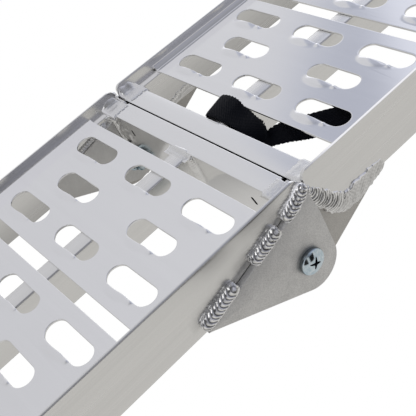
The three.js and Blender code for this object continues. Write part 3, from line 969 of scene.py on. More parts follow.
def bead(path, up, width, height, pitch, depth, seed, sink, columns=18, rough=0.05,
         steep=0.5, button=0.0, tone=1.0, lump=0.0):
    """Weld bead of stacked ripples along a path on a surface with normal up.

    pitch, depth: the ripples; sink: keel below the surface; rough: variation in width;
    steep: power of the crown; button: height of the round start; tone: strength of the
    shading attribute; lump: height of random lumps. width, height, depth and lump may be
    tables over the path's fraction.
    """
    rng = random.Random(seed)
    points, length = resample(path, BEAD_STEP)
    up = Vector(up).normalized()
    count = int(length / pitch) + 8
    phases = [rng.uniform(-0.22, 0.22) for _ in range(count)]
    width_scales = [1 + rng.uniform(-rough, rough) for _ in range(count)]
    height_scales = [1 + rng.uniform(-0.1, 0.1) for _ in range(count)]
    bm = bmesh.new()
    tone_layer = bm.verts.layers.float.new("tone")
    rings = []
    for i, (point, run) in enumerate(points):
        t = run / length
        before, after = points[max(i - 1, 0)][0], points[min(i + 1, len(points) - 1)][0]
        tangent = (after - before).normalized()
        sideways = tangent.cross(up).normalized()
        normal = sideways.cross(tangent).normalized()
        full_width, relief = lookup(width, t), lookup(depth, t)
        # rounded ends
        from_end = min(run, length - run) / (full_width * 0.46)
        taper = max(math.sqrt(max(0.0, 1 - (1 - min(from_end, 1.0)) ** 2)), 0.05)
        k = int(run / pitch)
        blend = run / pitch - k
        wide = full_width * (width_scales[k] * (1 - blend) + width_scales[k + 1] * blend)
        wide *= 0.25 + 0.75 * taper
        high = lookup(height, t) * (height_scales[k] * (1 - blend)
                                    + height_scales[k + 1] * blend)
        in_button = 0.0
        if button:
            in_button = math.exp(-((run - full_width * 0.40) / (full_width * 0.26)) ** 2)
        ring = []
        for j in range(columns + 1):
            across = -1 + 2 * j / columns
            crown = max(0.0, 1 - across * across) ** steep
            # position within the ripple: a quick rise, then a slow fall
            ripple = (run + BOW * pitch * across * across * 1.5) / pitch
            k = min(max(int(ripple), 0), count - 2)
            ripple = (ripple + phases[k] * math.sin(math.pi * (ripple - k))) % 1.0
            saw = ripple / 0.22 if ripple < 0.22 else (1 - (ripple - 0.22) / 0.78) ** 0.8
            rise = high * taper * crown
            rise += relief * (saw - 0.5) * crown ** 0.6 * taper * (1 - 0.75 * in_button)
            if lump:
                lump_height = lookup(lump, t)
                fine = wave(run * 2.3, across * wide * 1.15, seed + 3)
                coarse = wave(run, across * wide / 2, seed)
                rise += lump_height * (coarse + 0.55 * fine) * crown ** 0.5 * taper
            if button:
                radius = math.hypot((run - full_width * 0.40) / (full_width * 0.36),
                                    across / 0.82)
                dome = math.exp(-(radius / 0.72) ** 4) - 0.45 * math.exp(-(radius / 0.3) ** 2)
                rise += button * dome * crown ** 0.5
            vert = bm.verts.new(point + sideways * (across * wide / 2)
                                + normal * (max(rise, 0.0) if 0 < j < columns else 0.0))
            # tone: shade painted in the grooves, drifting soot, highlights painted on the crests
            valley = math.exp(-(min(ripple, 1 - ripple) / 0.13) ** 2)
            groove_shade = valley * min(1.0, relief / 0.8) ** 2
            soot = 0.5 + 0.5 * math.sin(run * 0.55 + seed * 1.7 + across * 2.2)
            crest_highlight = min(1.0, relief / 0.7) * math.exp(-((ripple - 0.42) / 0.2) ** 2)
            shade = (-0.70 * groove_shade - 0.22 * soot * (1 - abs(across))
                     + 0.26 * crest_highlight * (1 - 0.6 * soot))
            if lump:
                shade -= lump_height * (0.42 + 0.5 * max(-1.0, min(1.0, fine * 2)))
            # the round start: a highlight painted at its centre and shade painted in a ring round
            # it
            if button:
                target = (0.3 * math.exp(-(radius / 0.28) ** 2)
                          - 0.7 * math.exp(-((radius - 0.55) / 0.17) ** 2))
                shade = shade * (1 - in_button) + in_button * target
            # highlight painted along the bead's toes
            if abs(across) > 0.86:
                shade = 0.2
            vert[tone_layer] = max(-0.88, min(0.35, shade)) * tone
            ring.append(vert)
        for across, drop in ((0.8, 0.75), (0.0, 1), (-0.8, 0.75)):
            ring.append(bm.verts.new(point + sideways * (across * wide / 2)
                                     - normal * sink * drop))
        rings.append(ring)
    loft(bm, rings)
    bm.faces.new(rings[0][::-1])
    bm.faces.new(rings[-1])
    return bm


def close_sheet(bm, top, bottom):
    """Skin two matching grids of vertices and the walls between them."""
    rows, columns = len(top) - 1, len(top[0]) - 1
    for j in range(rows):
        for i in range(columns):
            bm.faces.new((top[j][i], top[j][i + 1], top[j + 1][i + 1], top[j + 1][i]))
            bm.faces.new((bottom[j][i], bottom[j + 1][i],
                          bottom[j + 1][i + 1], bottom[j][i + 1]))
        bm.faces.new((top[j][0], top[j + 1][0], bottom[j + 1][0], bottom[j][0]))
        bm.faces.new((top[j][-1], bottom[j][-1], bottom[j + 1][-1], top[j + 1][-1]))
    for i in range(columns):
        bm.faces.new((top[0][i], bottom[0][i], bottom[0][i + 1], top[0][i + 1]))
        bm.faces.new((top[-1][i], top[-1][i + 1], bottom[-1][i + 1], bottom[-1][i]))


def puddle(section, y_span, seed, fall, rim, lumps, climb, columns=46, rows=52):
    """Weld puddle over a crossbar's right end, running up the lip.

    section: (x, z) points; fall: rounding at each y end; rim: raggedness of the inboard
    edge; lumps: surface waviness; climb: distance from each y end to the full lip height.
    """
    floor, shelf = -2.8, 0.9
    near, far = y_span
    x_start, x_end = section[0][0], section[-1][0]
    table = [((x - x_start) / (x_end - x_start), z) for x, z in section]
    bm = bmesh.new()
    top, bottom = [], []
    for j in range(rows + 1):
        y = near + (far - near) * j / rows
        top.append([])
        bottom.append([])
        ragged = 1.2 * math.sin(y * 0.9 + seed) + 0.9 * math.sin(y * 2.1 + seed * 2.3)
        x_edge = x_start + rim * ragged
        for i in range(columns + 1):
            x = x_edge + (x_end - x_edge) * i / columns
            z = lookup(table, max(0.0, (x - x_start) / (x_end - x_start)))
            if z > shelf:
                up_lip = smoothstep(min((y - near) / climb[0], (far - y) / climb[1]))
                z = shelf + (z - shelf) * up_lip * (1 + 0.10 * math.sin(y * 0.55 + seed))
            side_fade = max(min(1.0, (x - x_edge) / 1.4), 0)
            end_fade = max(min(1.0, (y - near) / fall[0], (far - y) / fall[1]), 0)
            fade = (1 - (1 - side_fade) ** 2) ** 0.5 * (1 - (1 - end_fade) ** 2) ** 0.5
            radius = math.hypot(x - (x_start + 6), (y - (near + far) / 2) * 0.9)
            swirl = 0.5 + 0.5 * math.sin(radius * 2.0 + seed)
            z = floor + (z + lumps * wave(x, y, seed) + 0.035 * swirl - floor) * fade
            top[-1].append(bm.verts.new((x, y, z)))
            bottom[-1].append(bm.verts.new((x, y, floor - 0.5)))
    close_sheet(bm, top, bottom)
    return bm


def flat(x, y):
    return 0.0


def patch(base, rise, x_span, y_span, seed, lumps, ribs=0.0, rib_pitch=3.0, count=44,
          power=3.0):
    """Thin, soft-edged weld patch on the surface base(x, y).

    lumps: surface waviness; ribs: height of the ribs across x; power: squareness.
    """
    (x0, x1), (y0, y1) = x_span, y_span
    center_x, center_y = (x0 + x1) / 2, (y0 + y1) / 2
    half_x, half_y = (x1 - x0) / 2, (y1 - y0) / 2
    bm = bmesh.new()
    top, bottom = [], []
    for j in range(count + 1):
        top.append([])
        bottom.append([])
        for i in range(count + 1):
            x, y = x0 + (x1 - x0) * i / count, y0 + (y1 - y0) * j / count
            across, along = (x - center_x) / half_x, (y - center_y) / half_y
            angle = math.atan2(along, across)
            edge = (0.88 + 0.07 * math.sin(3 * angle + seed)
                    + 0.05 * math.sin(5 * angle + seed * 2.1))
            radius = (abs(across) ** power + abs(along) ** power) ** (1 / power) / edge
            fade = max(0.0, 1 - radius ** 4)
            ground = base(x, y)
            rib = ribs * math.sin(x * 2 * math.pi / rib_pitch + 0.5 * math.sin(y))
            z = (ground - 0.25 + (rise + 0.25) * fade
                 + (lumps * wave(x * 0.8, y * 0.8, seed) + rib) * fade)
            top[-1].append(bm.verts.new((x, y, z)))
            bottom[-1].append(bm.verts.new((x, y, ground - 1.2)))
    close_sheet(bm, top, bottom)
    return bm


def welds(name, pieces, body, sloped=False, material=WELD):
    """One object for each weld, so each mesh is one closed body."""
    for i, bm in enumerate(pieces):
        finish(f"{name}_{i + 1}", bm, material, body,
               sloped=sloped, smooth_angle=60)


# ------------------------------------------------------------------ welds


def sided_bead(side, path, up, **shape):
    """Bead with its path and normal given for the right side."""
    path = [(side * x, y, z) for x, y, z in path]
    return bead(path, (side * up[0], up[1], up[2]), **shape)


def outer_leaf_welds(side, tag):
    """Stitch beads over the sloping edge of the outboard leaf, and a knot at the seam."""
    x = 143.6
    up = (0.84, -0.15, 0.54)
    welds(f"weld_outer_leaf_{tag}", [
        sided_bead(side, [(x, 0.8, 3.2), (x, -4.1, 2.2), (x, -8.2, -0.8), (x, -14.4, -4.0),
                          (x, -21.3, -6.8), (x, -30.5, -10.0)], up,
                   width=[(0, 9), (0.25, 12.0), (1, 12.6)], height=3.3, pitch=3.7,
                   depth=1.15, seed=3, sink=2.4, rough=0.08),
        sided_bead(side, [(x, -36.5, -10.8), (x, -47.5, -13.9), (x, -56.7, -16.6),
                          (x, -71.5, -20.2)], up,
                   width=12.2, height=3.3, pitch=3.5, depth=1.05, seed=5, sink=2.4,
                   button=1.1),
        sided_bead(side, [(x, -90.0, -24.2), (x, -101.9, -27.4), (x, -111.6, -30.0),
                          (x, -121.7, -32.6), (x, -132.5, -36.0)], up,
                   width=[(0, 12.2), (0.7, 12.8), (1, 11)], height=3.3, pitch=3.6,
                   depth=1.1, seed=7, sink=2.4, button=1.1),
        sided_bead(side, [(141.6, 2.6, -0.5), (142.4, 0.6, -5.0), (143.0, -3.0, -7.5)],
                   (1, 0.1, 0.2), width=7.0, height=2.4, pitch=3.0, depth=0.7, seed=9,
                   sink=1.4, button=0.8)], LOWER)


def upper_leaf_weld(side, tag):
    """Bead on the upper leaf, along the mitred rail end and the rail's floor."""
    path = [(139.4, 4.2, -6.5), (139.3, 5.2, -12), (139.2, 9.0, -21.2), (139.1, 17.0, -31.5),
            (139.0, 22.5, -39.5), (138.8, 28.9, -46.4), (138.7, 37.4, -49.8),
            (138.6, 52.3, -48.4), (138.5, 66.7, -47.0), (138.6, 84.0, -45.3)]
    welds(f"weld_upper_leaf_{tag}", [sided_bead(
        side, path, (0.98, 0.03, -0.17),
        width=[(0, 11.5), (0.05, 12.5), (0.15, 17), (0.28, 18), (0.46, 21.5), (0.55, 24.5),
               (0.69, 26.5), (0.83, 22), (0.93, 17), (1, 14)],
        height=[(0, 2.4), (0.3, 3.0), (0.6, 2.6), (1, 1.8)], pitch=3.1,
        depth=[(0, 0.75), (0.36, 0.72), (0.5, 0.26), (0.62, 0.1), (1, 0.05)], seed=11,
        sink=1.6, columns=22, steep=0.36, rough=0.1, tone=0.7,
        lump=[(0, 0.1), (0.4, 0.2), (0.55, 0.5), (1, 0.45)])], UPPER)


# (x, z) across the puddles on the right side
LOWER_PUDDLE = [(112.5, -0.1), (114.5, 0.7), (119, 0.9), (124, 0.8), (128, 0.5), (132, 0.8),
                (135, 2.2), (136.8, 4.6), (137.4, 5.6)]
UPPER_PUDDLE = [(114.5, -0.1), (116.5, 0.8), (120, 1.2), (125, 1.4), (129, 1.7), (132.5, 2.6),
                (135, 4.0), (136.7, 6.2), (137.4, 8.0)]


def crossbar_puddles(side, tag):
    pieces = [
        puddle(LOWER_PUDDLE, (-24.5, -3.0), seed=3 if side > 0 else 8, fall=(2.5, 1.2),
               rim=1.0, lumps=0.11, climb=(9.0, 4.0)),
        puddle([(121.0, -0.1)] + LOWER_PUDDLE[3:], (-3.6, -1.0), seed=5, fall=(0.7, 0.7),
               rim=0.3, lumps=0.1, climb=(1.5, 1.5))]
    welds(f"weld_lower_crossbar_top_{tag}", [on_side(bm, side) for bm in pieces], LOWER,
          material=PUDDLE)
    bm = puddle(UPPER_PUDDLE, (0.9, 25.0), seed=12 if side > 0 else 17, fall=(0.9, 2.6),
                rim=1.0, lumps=0.045, climb=(3.5, 10.0))
    welds(f"weld_upper_crossbar_top_{tag}", [on_side(bm, side)], UPPER, sloped=True,
          material=PUDDLE)


# name, body, sloped, right-hand path, normal, shape
CORNER_BEADS = (
    ("lower_crossbar", LOWER, False,
     [(125.0, -24.2, -1.5), (124.6, -24.8, -8), (124.8, -24.6, -22), (125.6, -23.8, -41.5)],
     (-0.707, -0.707, 0),
     dict(width=[(0, 9), (0.3, 13), (0.6, 12), (1, 9)], height=1.2, pitch=2.9, depth=0.4,
          seed=17, sink=3.4, steep=0.6, rough=0.22, tone=0.3)),
    ("upper_crossbar", UPPER, True,
     [(126.4, 23.6, -1.0), (126.6, 24.2, -20), (126.8, 24.0, -41.5)],
     (-0.707, 0.707, 0),
     dict(width=11.0, height=2.6, pitch=2.6, depth=0.5, seed=23, sink=2.2, steep=0.6,
          rough=0.15, tone=0.3)),
    # inboard leaf to the rail's inner wall
    ("inner_leaf", LOWER, False,
     [(127.6, -30, -7.6), (127.6, -60, -13.0), (127.6, -112, -22.0)],
     (-0.6, 0, 0.8),
     dict(width=8.0, height=2.4, pitch=3.0, depth=0.6, seed=29, sink=1.0, tone=0.4)),
    # centre stringers to the hinge crossbars
    ("stringer_lower", LOWER, False,
     [(11.6, -22.0, -1.8), (11.8, -22.6, -10), (12.2, -22.6, -24), (12.0, -22.4, -41.5)],
     (0.707, -0.707, 0),
     dict(width=[(0, 7), (0.25, 10.5), (1, 9.5)], height=2.0, pitch=2.5, depth=0.35,
          seed=31, sink=1.8, steep=0.6, tone=0.25)),
    ("stringer_upper", UPPER, True,
     [(11.4, 23.2, -2.4), (11.6, 23.8, -20), (11.6, 23.6, -41.5)],
     (0.707, 0.707, 0),
     dict(width=8.0, height=2.0, pitch=2.6, depth=0.4, seed=37, sink=1.6, steep=0.6,
          tone=0.3)),
)
for side, tag in SIDES:
    outer_leaf_welds(side, tag)
    upper_leaf_weld(side, tag)
    crossbar_puddles(side, tag)
    for name, body, sloped, path, up, shape in CORNER_BEADS:
        welds(f"weld_{name}_{tag}", [sided_bead(side, path, up, **shape)], body, sloped)


def lower_step(x, y):
    """Drop from the lower hinge crossbar's top to the stringer's."""
    return LEDGE * smoothstep((-19.5 - y) / 5.5)


def upper_step(x, y):
    """Drop from the upper hinge crossbar's top to the stringer's."""
    return LEDGE * smoothstep((y - 20.6) / 4.5)


welds("weld_stringer_top_lower",
      [patch(lower_step, rise=0.55, x_span=(-19.0, 13.5), y_span=(-29.5, -17.5), seed=4,
             lumps=0.05, ribs=0.05, rib_pitch=2.9)], LOWER, material=PUDDLE)
welds("weld_stringer_top_upper",
      [patch(upper_step, rise=0.5, x_span=(-17.0, 13.0), y_span=(18.6, 28.5), seed=6,
             lumps=0.04, ribs=0.04, rib_pitch=3.1)], UPPER, sloped=True, material=PUDDLE)


def crossbar_spatter(side, tag, reach):
    """Spatter on the lower hinge crossbar's face away from the seam, beside the rail."""
    bm = patch(flat, rise=0.8, x_span=(128.6 - reach, 129.4), y_span=(-37.0, -1.2), seed=9,
               lumps=1.9 if side < 0 else 0.8, power=2.4, count=64)
    for vert in bm.verts:
        x, y, z = vert.co
        vert.co = (x, LOWER_BAR_Y - z, y)
    welds(f"weld_lower_crossbar_face_{tag}", [on_side(bm, side)], LOWER, material=SPATTER)


def rail_spatter(side, tag, reach):
    """Spatter on the lower rail's inboard face."""
    bm = patch(flat, rise=0.7, x_span=(-21.8 - reach * 0.75, -20.4), y_span=(-24.0, -3.2),
               seed=14, lumps=1.5, power=2.4, count=56)
    for vert in bm.verts:
        x, y, z = vert.co
        vert.co = (RAIL_IN - z, x, y)
    welds(f"weld_lower_rail_inner_{tag}", [on_side(bm, side)], LOWER, material=SPATTER)


def burn_through(side, tag):
    """Burn-through of the leaf weld on the upper rail's inner wall."""
    x = 128.1
    path = [(x, 41.0, -42.6), (x, 50.0, -40.6), (x, 59.3, -38.4), (x, 69.0, -36.8),
            (x, 78.0, -38.0), (x, 86.0, -42.0)]
    welds(f"weld_upper_inner_{tag}", [sided_bead(
        side, path, (-1, 0, 0.05), width=8.5, height=1.0, pitch=3.0, depth=0.3, seed=47,
        sink=1.0, steep=0.8, tone=0.7, rough=0.2)], UPPER)


for (side, tag), reach in zip(SIDES, (11.0, 34.0)):
    crossbar_spatter(side, tag, reach)
    rail_spatter(side, tag, reach)
    burn_through(side, tag)

# ------------------------------------------------------------------ end fittings
FITTING_HALF, PAD_X = 127, 78
# (distance past the end crossbar, z)
TONGUE = [(0.3, -4), (5, -4), (20, -5.15), (40, -6.75), (62.5, -8.5), (71, -11.7),
          (70, -15.5), (62, -12.5), (40, -10.78), (20, -9.22), (4.3, -8), (4.3, -30),
          (0.3, -30)]
FOOT = [(0.3, -38), (4.3, -38), (4.3, -12), (62, -40.5), (63.5, -37), (5, -7.4), (0.3, -7.4)]


def bent_plate(node, outline, body, sloped=False):
    bm = extrude("X", outline, (-FITTING_HALF, FITTING_HALF), edge=0.3)
    finish("bent_" + node, bm, TREAD, body, node, sloped=sloped)


bent_plate("tailgate_tongue", [(END_Y + y, z) for y, z in TONGUE], UPPER, sloped=True)
bent_plate("ground_foot_plate", [(-(END_Y + y), z) for y, z in FOOT][::-1], LOWER)


def tongue_underside(y):
    return -8 - (4.5 * (y - END_Y - 4.3)) / 57.7


def bar_underside(y):
    return BAR_BOTTOM


def ribbed_profile(near, far, ribs, surface, rib_depth, groove_depth, lead):
    """(y, z) outline of a pad under a surface; lead delays the start of each rib."""
    outline = [(near, surface(near) - GAP)]
    for i in range(ribs):
        start = near + (far - near) * i / ribs
        stop = near + (far - near) * (i + 0.62) / ribs
        following = near + (far - near) * (i + 1) / ribs
        outline += [(start + lead, surface(start) - rib_depth),
                    (stop, surface(stop) - rib_depth)]
        if i < ribs - 1:
            outline += [(stop + 0.3, surface(stop) - groove_depth),
                        (following - 0.3, surface(following) - groove_depth)]
    return outline + [(far, surface(far) - rib_depth), (far, surface(far) - GAP)]


TONGUE_PAD = ribbed_profile(END_Y + 14, END_Y + 54, ribs=8, surface=tongue_underside,
                            rib_depth=5.3, groove_depth=4.2, lead=0.2)
GROUND_PAD = ribbed_profile(-END_Y + 0.6, -END_BAR_Y - 0.6, ribs=4, surface=bar_underside,
                            rib_depth=6.5, groove_depth=5.3, lead=0.0)
for side, tag in SIDES:
    for name, outline, half, body in (("tongue_pad", TONGUE_PAD, 30, UPPER),
                                      ("ground_pad", GROUND_PAD, 35, LOWER)):
        span = (side * PAD_X - half, side * PAD_X + half)
        node = f"{name}_{tag}"
        finish("ribbed_" + node, extrude("X", outline, span, edge=0.1), RUBBER, body,
               node, sloped=body == UPPER)

# ------------------------------------------------------------------ safety strap
STRAP_THICKNESS = 1.5
STRAP_UV_WIDTH = 0.0245                 # band width in the UV map, metres
FRAY = (178, 196, 0.8)                  # frayed stretch: start, end, amplitude
# (near edge, far edge) along the band: it passes under the stringer, comes up over its
# left side, crosses the top, turns on edge and runs off under the first panel
STRAP_EDGES = [
    ((36, 24.8, -9.0), (36, 48.4, -9.0)),
    ((22, 24.8, -10.0), (22, 48.8, -9.6)),
    ((14.4, 24.8, -16.0), (14.4, 48.8, -15.5)),
    ((13.4, 24.8, -30), (13.4, 49, -30)),
    ((10.0, 24.8, -44.2), (10.0, 49, -44.2)),
    ((0, 24.8, -46.4), (0, 49, -46.4)),
    ((-10.5, 24.8, -44.4), (-10.5, 49, -44.4)),
    ((-13.4, 24.8, -29), (-13.4, 49, -29)),
    ((-15.2, 24.6, -12), (-17.0, 49, -11)),
    ((-17.6, 24.2, -4.0), (-21.0, 49.2, -3.5)),
    ((-16.8, 23.9, -0.6), (-20.5, 49.6, 1.6)),
    ((-12.6, 23.7, 1.0), (-13.8, 50.4, 4.0)),
    ((-4, 23.6, 1.1), (-3.0, 50.9, 5.0)),
    ((6, 23.8, 0.6), (6.5, 50.2, 3.8)),
    ((14, 24.2, -0.5), (12.5, 48.9, 1.0)),
    ((24, 24.6, -2.2), (20, 49.0, -2.2)),
    ((34, 24.9, -5.5), (30.8, 46.3, -3.0)),
    ((43, 25.4, -10.5), (41.0, 44.2, -3.3)),
    ((50.5, 27.0, -16.0), (49.0, 41.2, -3.8)),
    ((56.6, 29.6, -19.0), (54.4, 38.0, -4.4)),
    ((61.0, 31.2, -16.6), (54.6, 41.0, -4.7)),
    ((66.5, 33.0, -13.6), (56.4, 48.0, -5.0)),
    ((77.5, 41.2, -12.2), (63.6, 58.8, -5.2)),
    ((84.0, 48.6, -14.0), (72.4, 68.6, -5.3)),
    ((91.0, 59.6, -17.0), (86.0, 83.0, -5.4)),
    ((103.0, 73.0, -15.0), (97.5, 94.0, -5.8)),
    ((113.0, 83.0, -12.0), (107.0, 104.0, -6.2)),
]


def catmull_rom(before, start, end, after, t):
    return 0.5 * ((2 * start) + (end - before) * t
                  + (2 * before - 5 * start + 4 * end - after) * t * t
                  + (3 * start - before - 3 * end + after) * t ** 3)


def strap_stations(edges, steps=12):
    """Smooth (centre, across vector, face normal) stations from pairs of edge points."""
    keys = [((Vector(near) + Vector(far)) / 2, Vector(far) - Vector(near))
            for near, far in edges]
    last = len(keys) - 1
    rows = []
    for i in range(last):
        around = (keys[max(i - 1, 0)], keys[i], keys[i + 1], keys[min(i + 2, last)])
        for j in range(steps):
            rows.append([catmull_rom(*values, j / steps) for values in zip(*around)])
    rows.append(keys[-1])
    stations = []
    for i, (center, across) in enumerate(rows):
        tangent = (rows[min(i + 1, len(rows) - 1)][0] - rows[max(i - 1, 0)][0]).normalized()
        stations.append((center, across, tangent.cross(across.normalized()).normalized()))
    return stations


def safety_strap():
    """Woven band with slightly uneven edges."""
    bm = bmesh.new()
    uv_layer = bm.loops.layers.uv.new("UVMap")
    columns = 16
    profile = []                        # (across, thickness) as fractions
    for j in range(columns + 1):
        across = -1 + 2 * j / columns
        profile.append((across * 0.5, 0.5 * (1 - abs(across) ** 8 * 0.75)))
    profile += [(across, -height) for across, height in profile[::-1]]
    stations = strap_stations(STRAP_EDGES)
    rings, distances = [], []
    run = 0.0
    fray_start, fray_end, fray_size = FRAY
    for i, (center, across, normal) in enumerate(stations):
        if i:
            run += (center - stations[i - 1][0]).length
        turn = run * 2 * math.pi
        far_wobble = 0.35 * math.sin(turn / 4.1) + 0.22 * math.sin(turn / 2.3 + 1)
        near_wobble = 0.30 * math.sin(turn / 4.3 + 2) + 0.22 * math.sin(turn / 2.6)
        if fray_start < run < fray_end:
            share = (run - fray_start) / (fray_end - fray_start)
            far_wobble += fray_size * math.sin(turn / 3.3) * math.sin(share * math.pi)
        direction = across.normalized()
        ring = []
        for part, height in profile:
            offset = (part * across.length + far_wobble * max(0.0, part * 2) ** 3
                      - near_wobble * max(0.0, -part * 2) ** 3)
            ring.append(bm.verts.new(center + direction * offset
                                     + normal * (height * STRAP_THICKNESS)))
        rings.append(ring)
        distances.append(run / 1000)
    count = len(profile)
    for index, face in enumerate(loft(bm, rings)):
        row, j = divmod(index, count)
        near, far = distances[row], distances[row + 1]
        left = profile[j][0] * STRAP_UV_WIDTH
        right = profile[(j + 1) % count][0] * STRAP_UV_WIDTH
        for corner, uv in zip(face.loops,
                              ((near, left), (near, right), (far, right), (far, left))):
            corner[uv_layer].uv = uv
    bm.faces.new(rings[0][::-1])
    bm.faces.new(rings[-1])
    finish("woven_safety_strap", bm, WEBBING, UPPER, "safety_strap",
           smooth_angle=50)


safety_strap()

# ------------------------------------------------------------------ floor
FLOOR_Z, FLOOR_HALF = -0.0965, 14.0     # metres


def floor_paper():
    """Paper that lights the ramp from below and is clear to the camera and from beneath,
    so a section folded underneath stays in view."""
    material, g = new_material("floor_paper")
    is_camera = g.node("ShaderNodeLightPath").outputs["Is Camera Ray"]
    x, y, _ = g.separate(g.geometry("Position"))
    # shadow of the ramp painted into the glow: a dimmer band along y, left of the centre
    offset = g.div(g.add(x, 0.075), 0.065)
    band = g.math("EXPONENT", g.mul(g.mul(offset, offset), -1.0))
    strength = g.sub(0.60, g.mul(band, 0.22))
    # dark beyond the right side, but for two dark wedges' surroundings spreading towards +x
    near_ramp = g.remap(x, (0.238, 0.262), (1.0, 0.02))
    slope = g.div(g.add(y, 0.0245), g.math("MAXIMUM", g.sub(x, 0.154), 0.02))
    wedge_a = g.remap(g.math("ABSOLUTE", g.sub(slope, 0.34)), (0.17, 0.24), (0.0, 1.0))
    wedge_b = g.remap(g.math("ABSOLUTE", g.add(slope, 0.20)), (0.14, 0.20), (0.0, 1.0))
    outside = g.math("MINIMUM", wedge_a, wedge_b)
    strength = g.mul(strength, g.math("MAXIMUM", near_ramp, outside))
    clear = g.node("ShaderNodeBsdfTransparent").outputs[0]
    g.output(g.mix_shader(g.math("MAXIMUM", is_camera, g.geometry("Backfacing")),
                          g.emission((1.0, 0.985, 0.96), strength), clear))
    return material


bm = bmesh.new()
bm.faces.new([bm.verts.new((x * FLOOR_HALF, y * FLOOR_HALF, FLOOR_Z))
              for x, y in ((-1, -1), (1, -1), (1, 1), (-1, 1))])
floor = to_object("studio_floor", bm)
floor.data.materials.append(floor_paper())

# ------------------------------------------------------------------ world
# bearing in degrees (0 towards -x, 90 towards +y), brightness, blue relative to red
BEARINGS = [(-180, 0.52, 1.03), (-100, 0.52, 1.03), (-40, 0.60, 1.03), (0, 0.655, 1.05),
            (30, 0.70, 1.05), (60, 0.70, 1.04), (95, 0.62, 1.04), (125, 0.66, 1.05),
            (148, 0.74, 1.06), (161, 0.74, 1.06), (172, 0.58, 1.05), (180, 0.52, 1.03)]
# angle from the large dark patch's centre in degrees, colour kept there
DARK_PATCH = [(0, (0.02, 0.02, 0.02)), (12, (0.04, 0.04, 0.04)), (18, (0.22, 0.22, 0.23)),
              (25, (0.47, 0.47, 0.50)), (40, (0.72, 0.72, 0.76)), (65, (1, 1, 1))]
FLAG = tuple(Vector((0.25, -0.77, 0.50)).normalized())
LAMP = tuple(Vector((0.0, -0.5, 0.87)).normalized())


def direction(elevation, azimuth):
    """Unit vector; azimuth turns from +x towards +y, both in degrees."""
    elevation, azimuth = math.radians(elevation), math.radians(azimuth)
    return (math.cos(elevation) * math.cos(azimuth),
            math.cos(elevation) * math.sin(azimuth), math.sin(elevation))


def studio_tint(g, bearing, elevation):
    """Cool tint of a slanted band, an added glow beside it, and a plain tint past 125 deg."""
    slant = g.add(bearing, g.mul(g.sub(elevation, 32.0), 0.8))
    band = g.ramp(g.remap(slant, (30, 40), (0, 1)),
                  [(0.15, (1, 1, 1)), (0.3, (0.955, 0.96, 0.985)),
                   (0.62, (0.76, 0.785, 0.86)), (0.85, (0.70, 0.725, 0.81))])
    glow = g.mul(g.remap(bearing, (40.0, 43.0), (0.0, 0.45)),
                 g.remap(bearing, (45, 54), (1.0, 0.3)))
    mix = g.node("ShaderNodeMix", data_type="RGBA")
    g.feed(mix.inputs[0], g.remap(bearing, (100, 125), (0.0, 1.0)))
    g.feed(mix.inputs[6], band)
    g.feed(mix.inputs[7], (0.70, 0.71, 0.75))
    return g.vector("ADD", mix.outputs[2], glow)


def studio_shade(g, view, bearing, ray_depth):
    """Share of the light left by the dark patches."""
    _, y, z = g.separate(view)

    def angle_from(center):
        cosine = g.vector("DOT_PRODUCT", view, center)
        return g.mul(g.math("ARCCOSINE", cosine), TO_DEGREES)

    patch_angle = g.remap(angle_from(direction(54, 12)), (0, 90), (0, 1))
    shade = g.ramp(patch_angle, [(angle / 90, color) for angle, color in DARK_PATCH])
    low_patch = g.remap(angle_from(direction(3, 3)), (10, 19), (0.04, 1.0))
    overhead = g.remap(z, (0.77, 0.93), (1.0, 0.55))
    # brighter low window at bearings of 20 to 50 degrees
    window = g.mul(g.remap(bearing, (42, 50), (1.0, 0.0)),
                   g.remap(bearing, (20, 30), (0.0, 1.0)))
    overhead = g.add(overhead, g.mul(window, g.remap(z, (0.24, 0.46), (0.85, 0.0))))
    shade = g.vector("SCALE", shade, g.mul(low_patch, overhead))
    # after a second bounce the dark patches are washed out
    washed = g.mul(g.remap(ray_depth, (1.4, 1.6), (0.0, 1.0)),
                   g.remap(y, (0.05, 0.4), (0.42, 0.56)))
    shade = g.vector("MAXIMUM", shade, washed)
    # black flag, raised, beyond the ramp's lower end
    return g.vector("SCALE", shade, g.remap(angle_from(FLAG), (12, 26), (0.12, 1.0)))


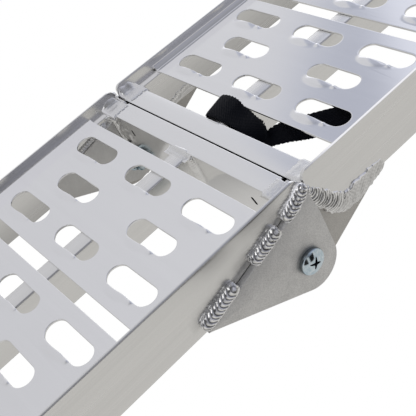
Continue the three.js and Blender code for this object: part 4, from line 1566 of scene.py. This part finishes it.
def build_world():
    """Pale studio for lighting and reflections; the camera itself sees plain white."""
    world = bpy.data.worlds.new("studio")
    bpy.context.scene.world = world
    world.use_nodes = True
    g = Graph(world.node_tree)
    view = g.coordinate("Generated")
    x, y, z = g.separate(view)
    ray = g.node("ShaderNodeLightPath").outputs
    bearing = g.mul(g.math("ARCTAN2", y, g.mul(x, -1.0)), TO_DEGREES)
    elevation = g.mul(g.math("ARCSINE", z), TO_DEGREES)
    base = g.ramp(g.remap(bearing, (-180, 180), (0, 1)),
                  [((angle + 180) / 360, (level, level * 1.004, level * blue))
                   for angle, level, blue in BEARINGS])
    color = g.vector("MULTIPLY", base, studio_shade(g, view, bearing, ray["Ray Depth"]))
    color = g.vector("MULTIPLY", color, studio_tint(g, bearing, elevation))
    # round lamp overhead, leaning towards the lower end
    lamp_edge = (math.cos(math.radians(19)), math.cos(math.radians(13)))
    lamp = g.remap(g.vector("DOT_PRODUCT", view, LAMP), lamp_edge, (0.0, 1.15))
    color = g.vector("ADD", color, lamp)
    shaders = []
    for background_color in (color, (1, 1, 1)):
        background = g.node("ShaderNodeBackground")
        g.feed(background.inputs["Color"], background_color)
        background.inputs["Strength"].default_value = 1.0
        shaders.append(background.outputs[0])
    g.output(g.mix_shader(ray["Is Camera Ray"], *shaders), "ShaderNodeOutputWorld")


build_world()

# ------------------------------------------------------------------ camera
# the camera stands above the right side of the lower section; axes are unit vectors
CAMERA_PLACE = (0.57627, -0.24880 + SEAM / 1000, 0.43642)
CAMERA_RIGHT = (0.60076945, 0.70982825, -0.36772262)
CAMERA_UP = (-0.34892899, 0.64668969, 0.67826323)
CAMERA_BACK = (0.71925283, -0.27917074, 0.63619106)

scene = bpy.context.scene
scene.view_settings.view_transform = "Standard"
scene.view_settings.look = "None"

camera_data = bpy.data.cameras.new("camera")
camera_data.sensor_width = 36.0
camera_data.sensor_fit = "HORIZONTAL"
camera_data.lens = 72.271298
camera_data.clip_end = 100
camera = bpy.data.objects.new("camera", camera_data)
scene.collection.objects.link(camera)
pose = Matrix((CAMERA_RIGHT, CAMERA_UP, CAMERA_BACK)).transposed().to_4x4()
pose.translation = Vector(CAMERA_PLACE)
camera.matrix_world = pose
scene.camera = camera
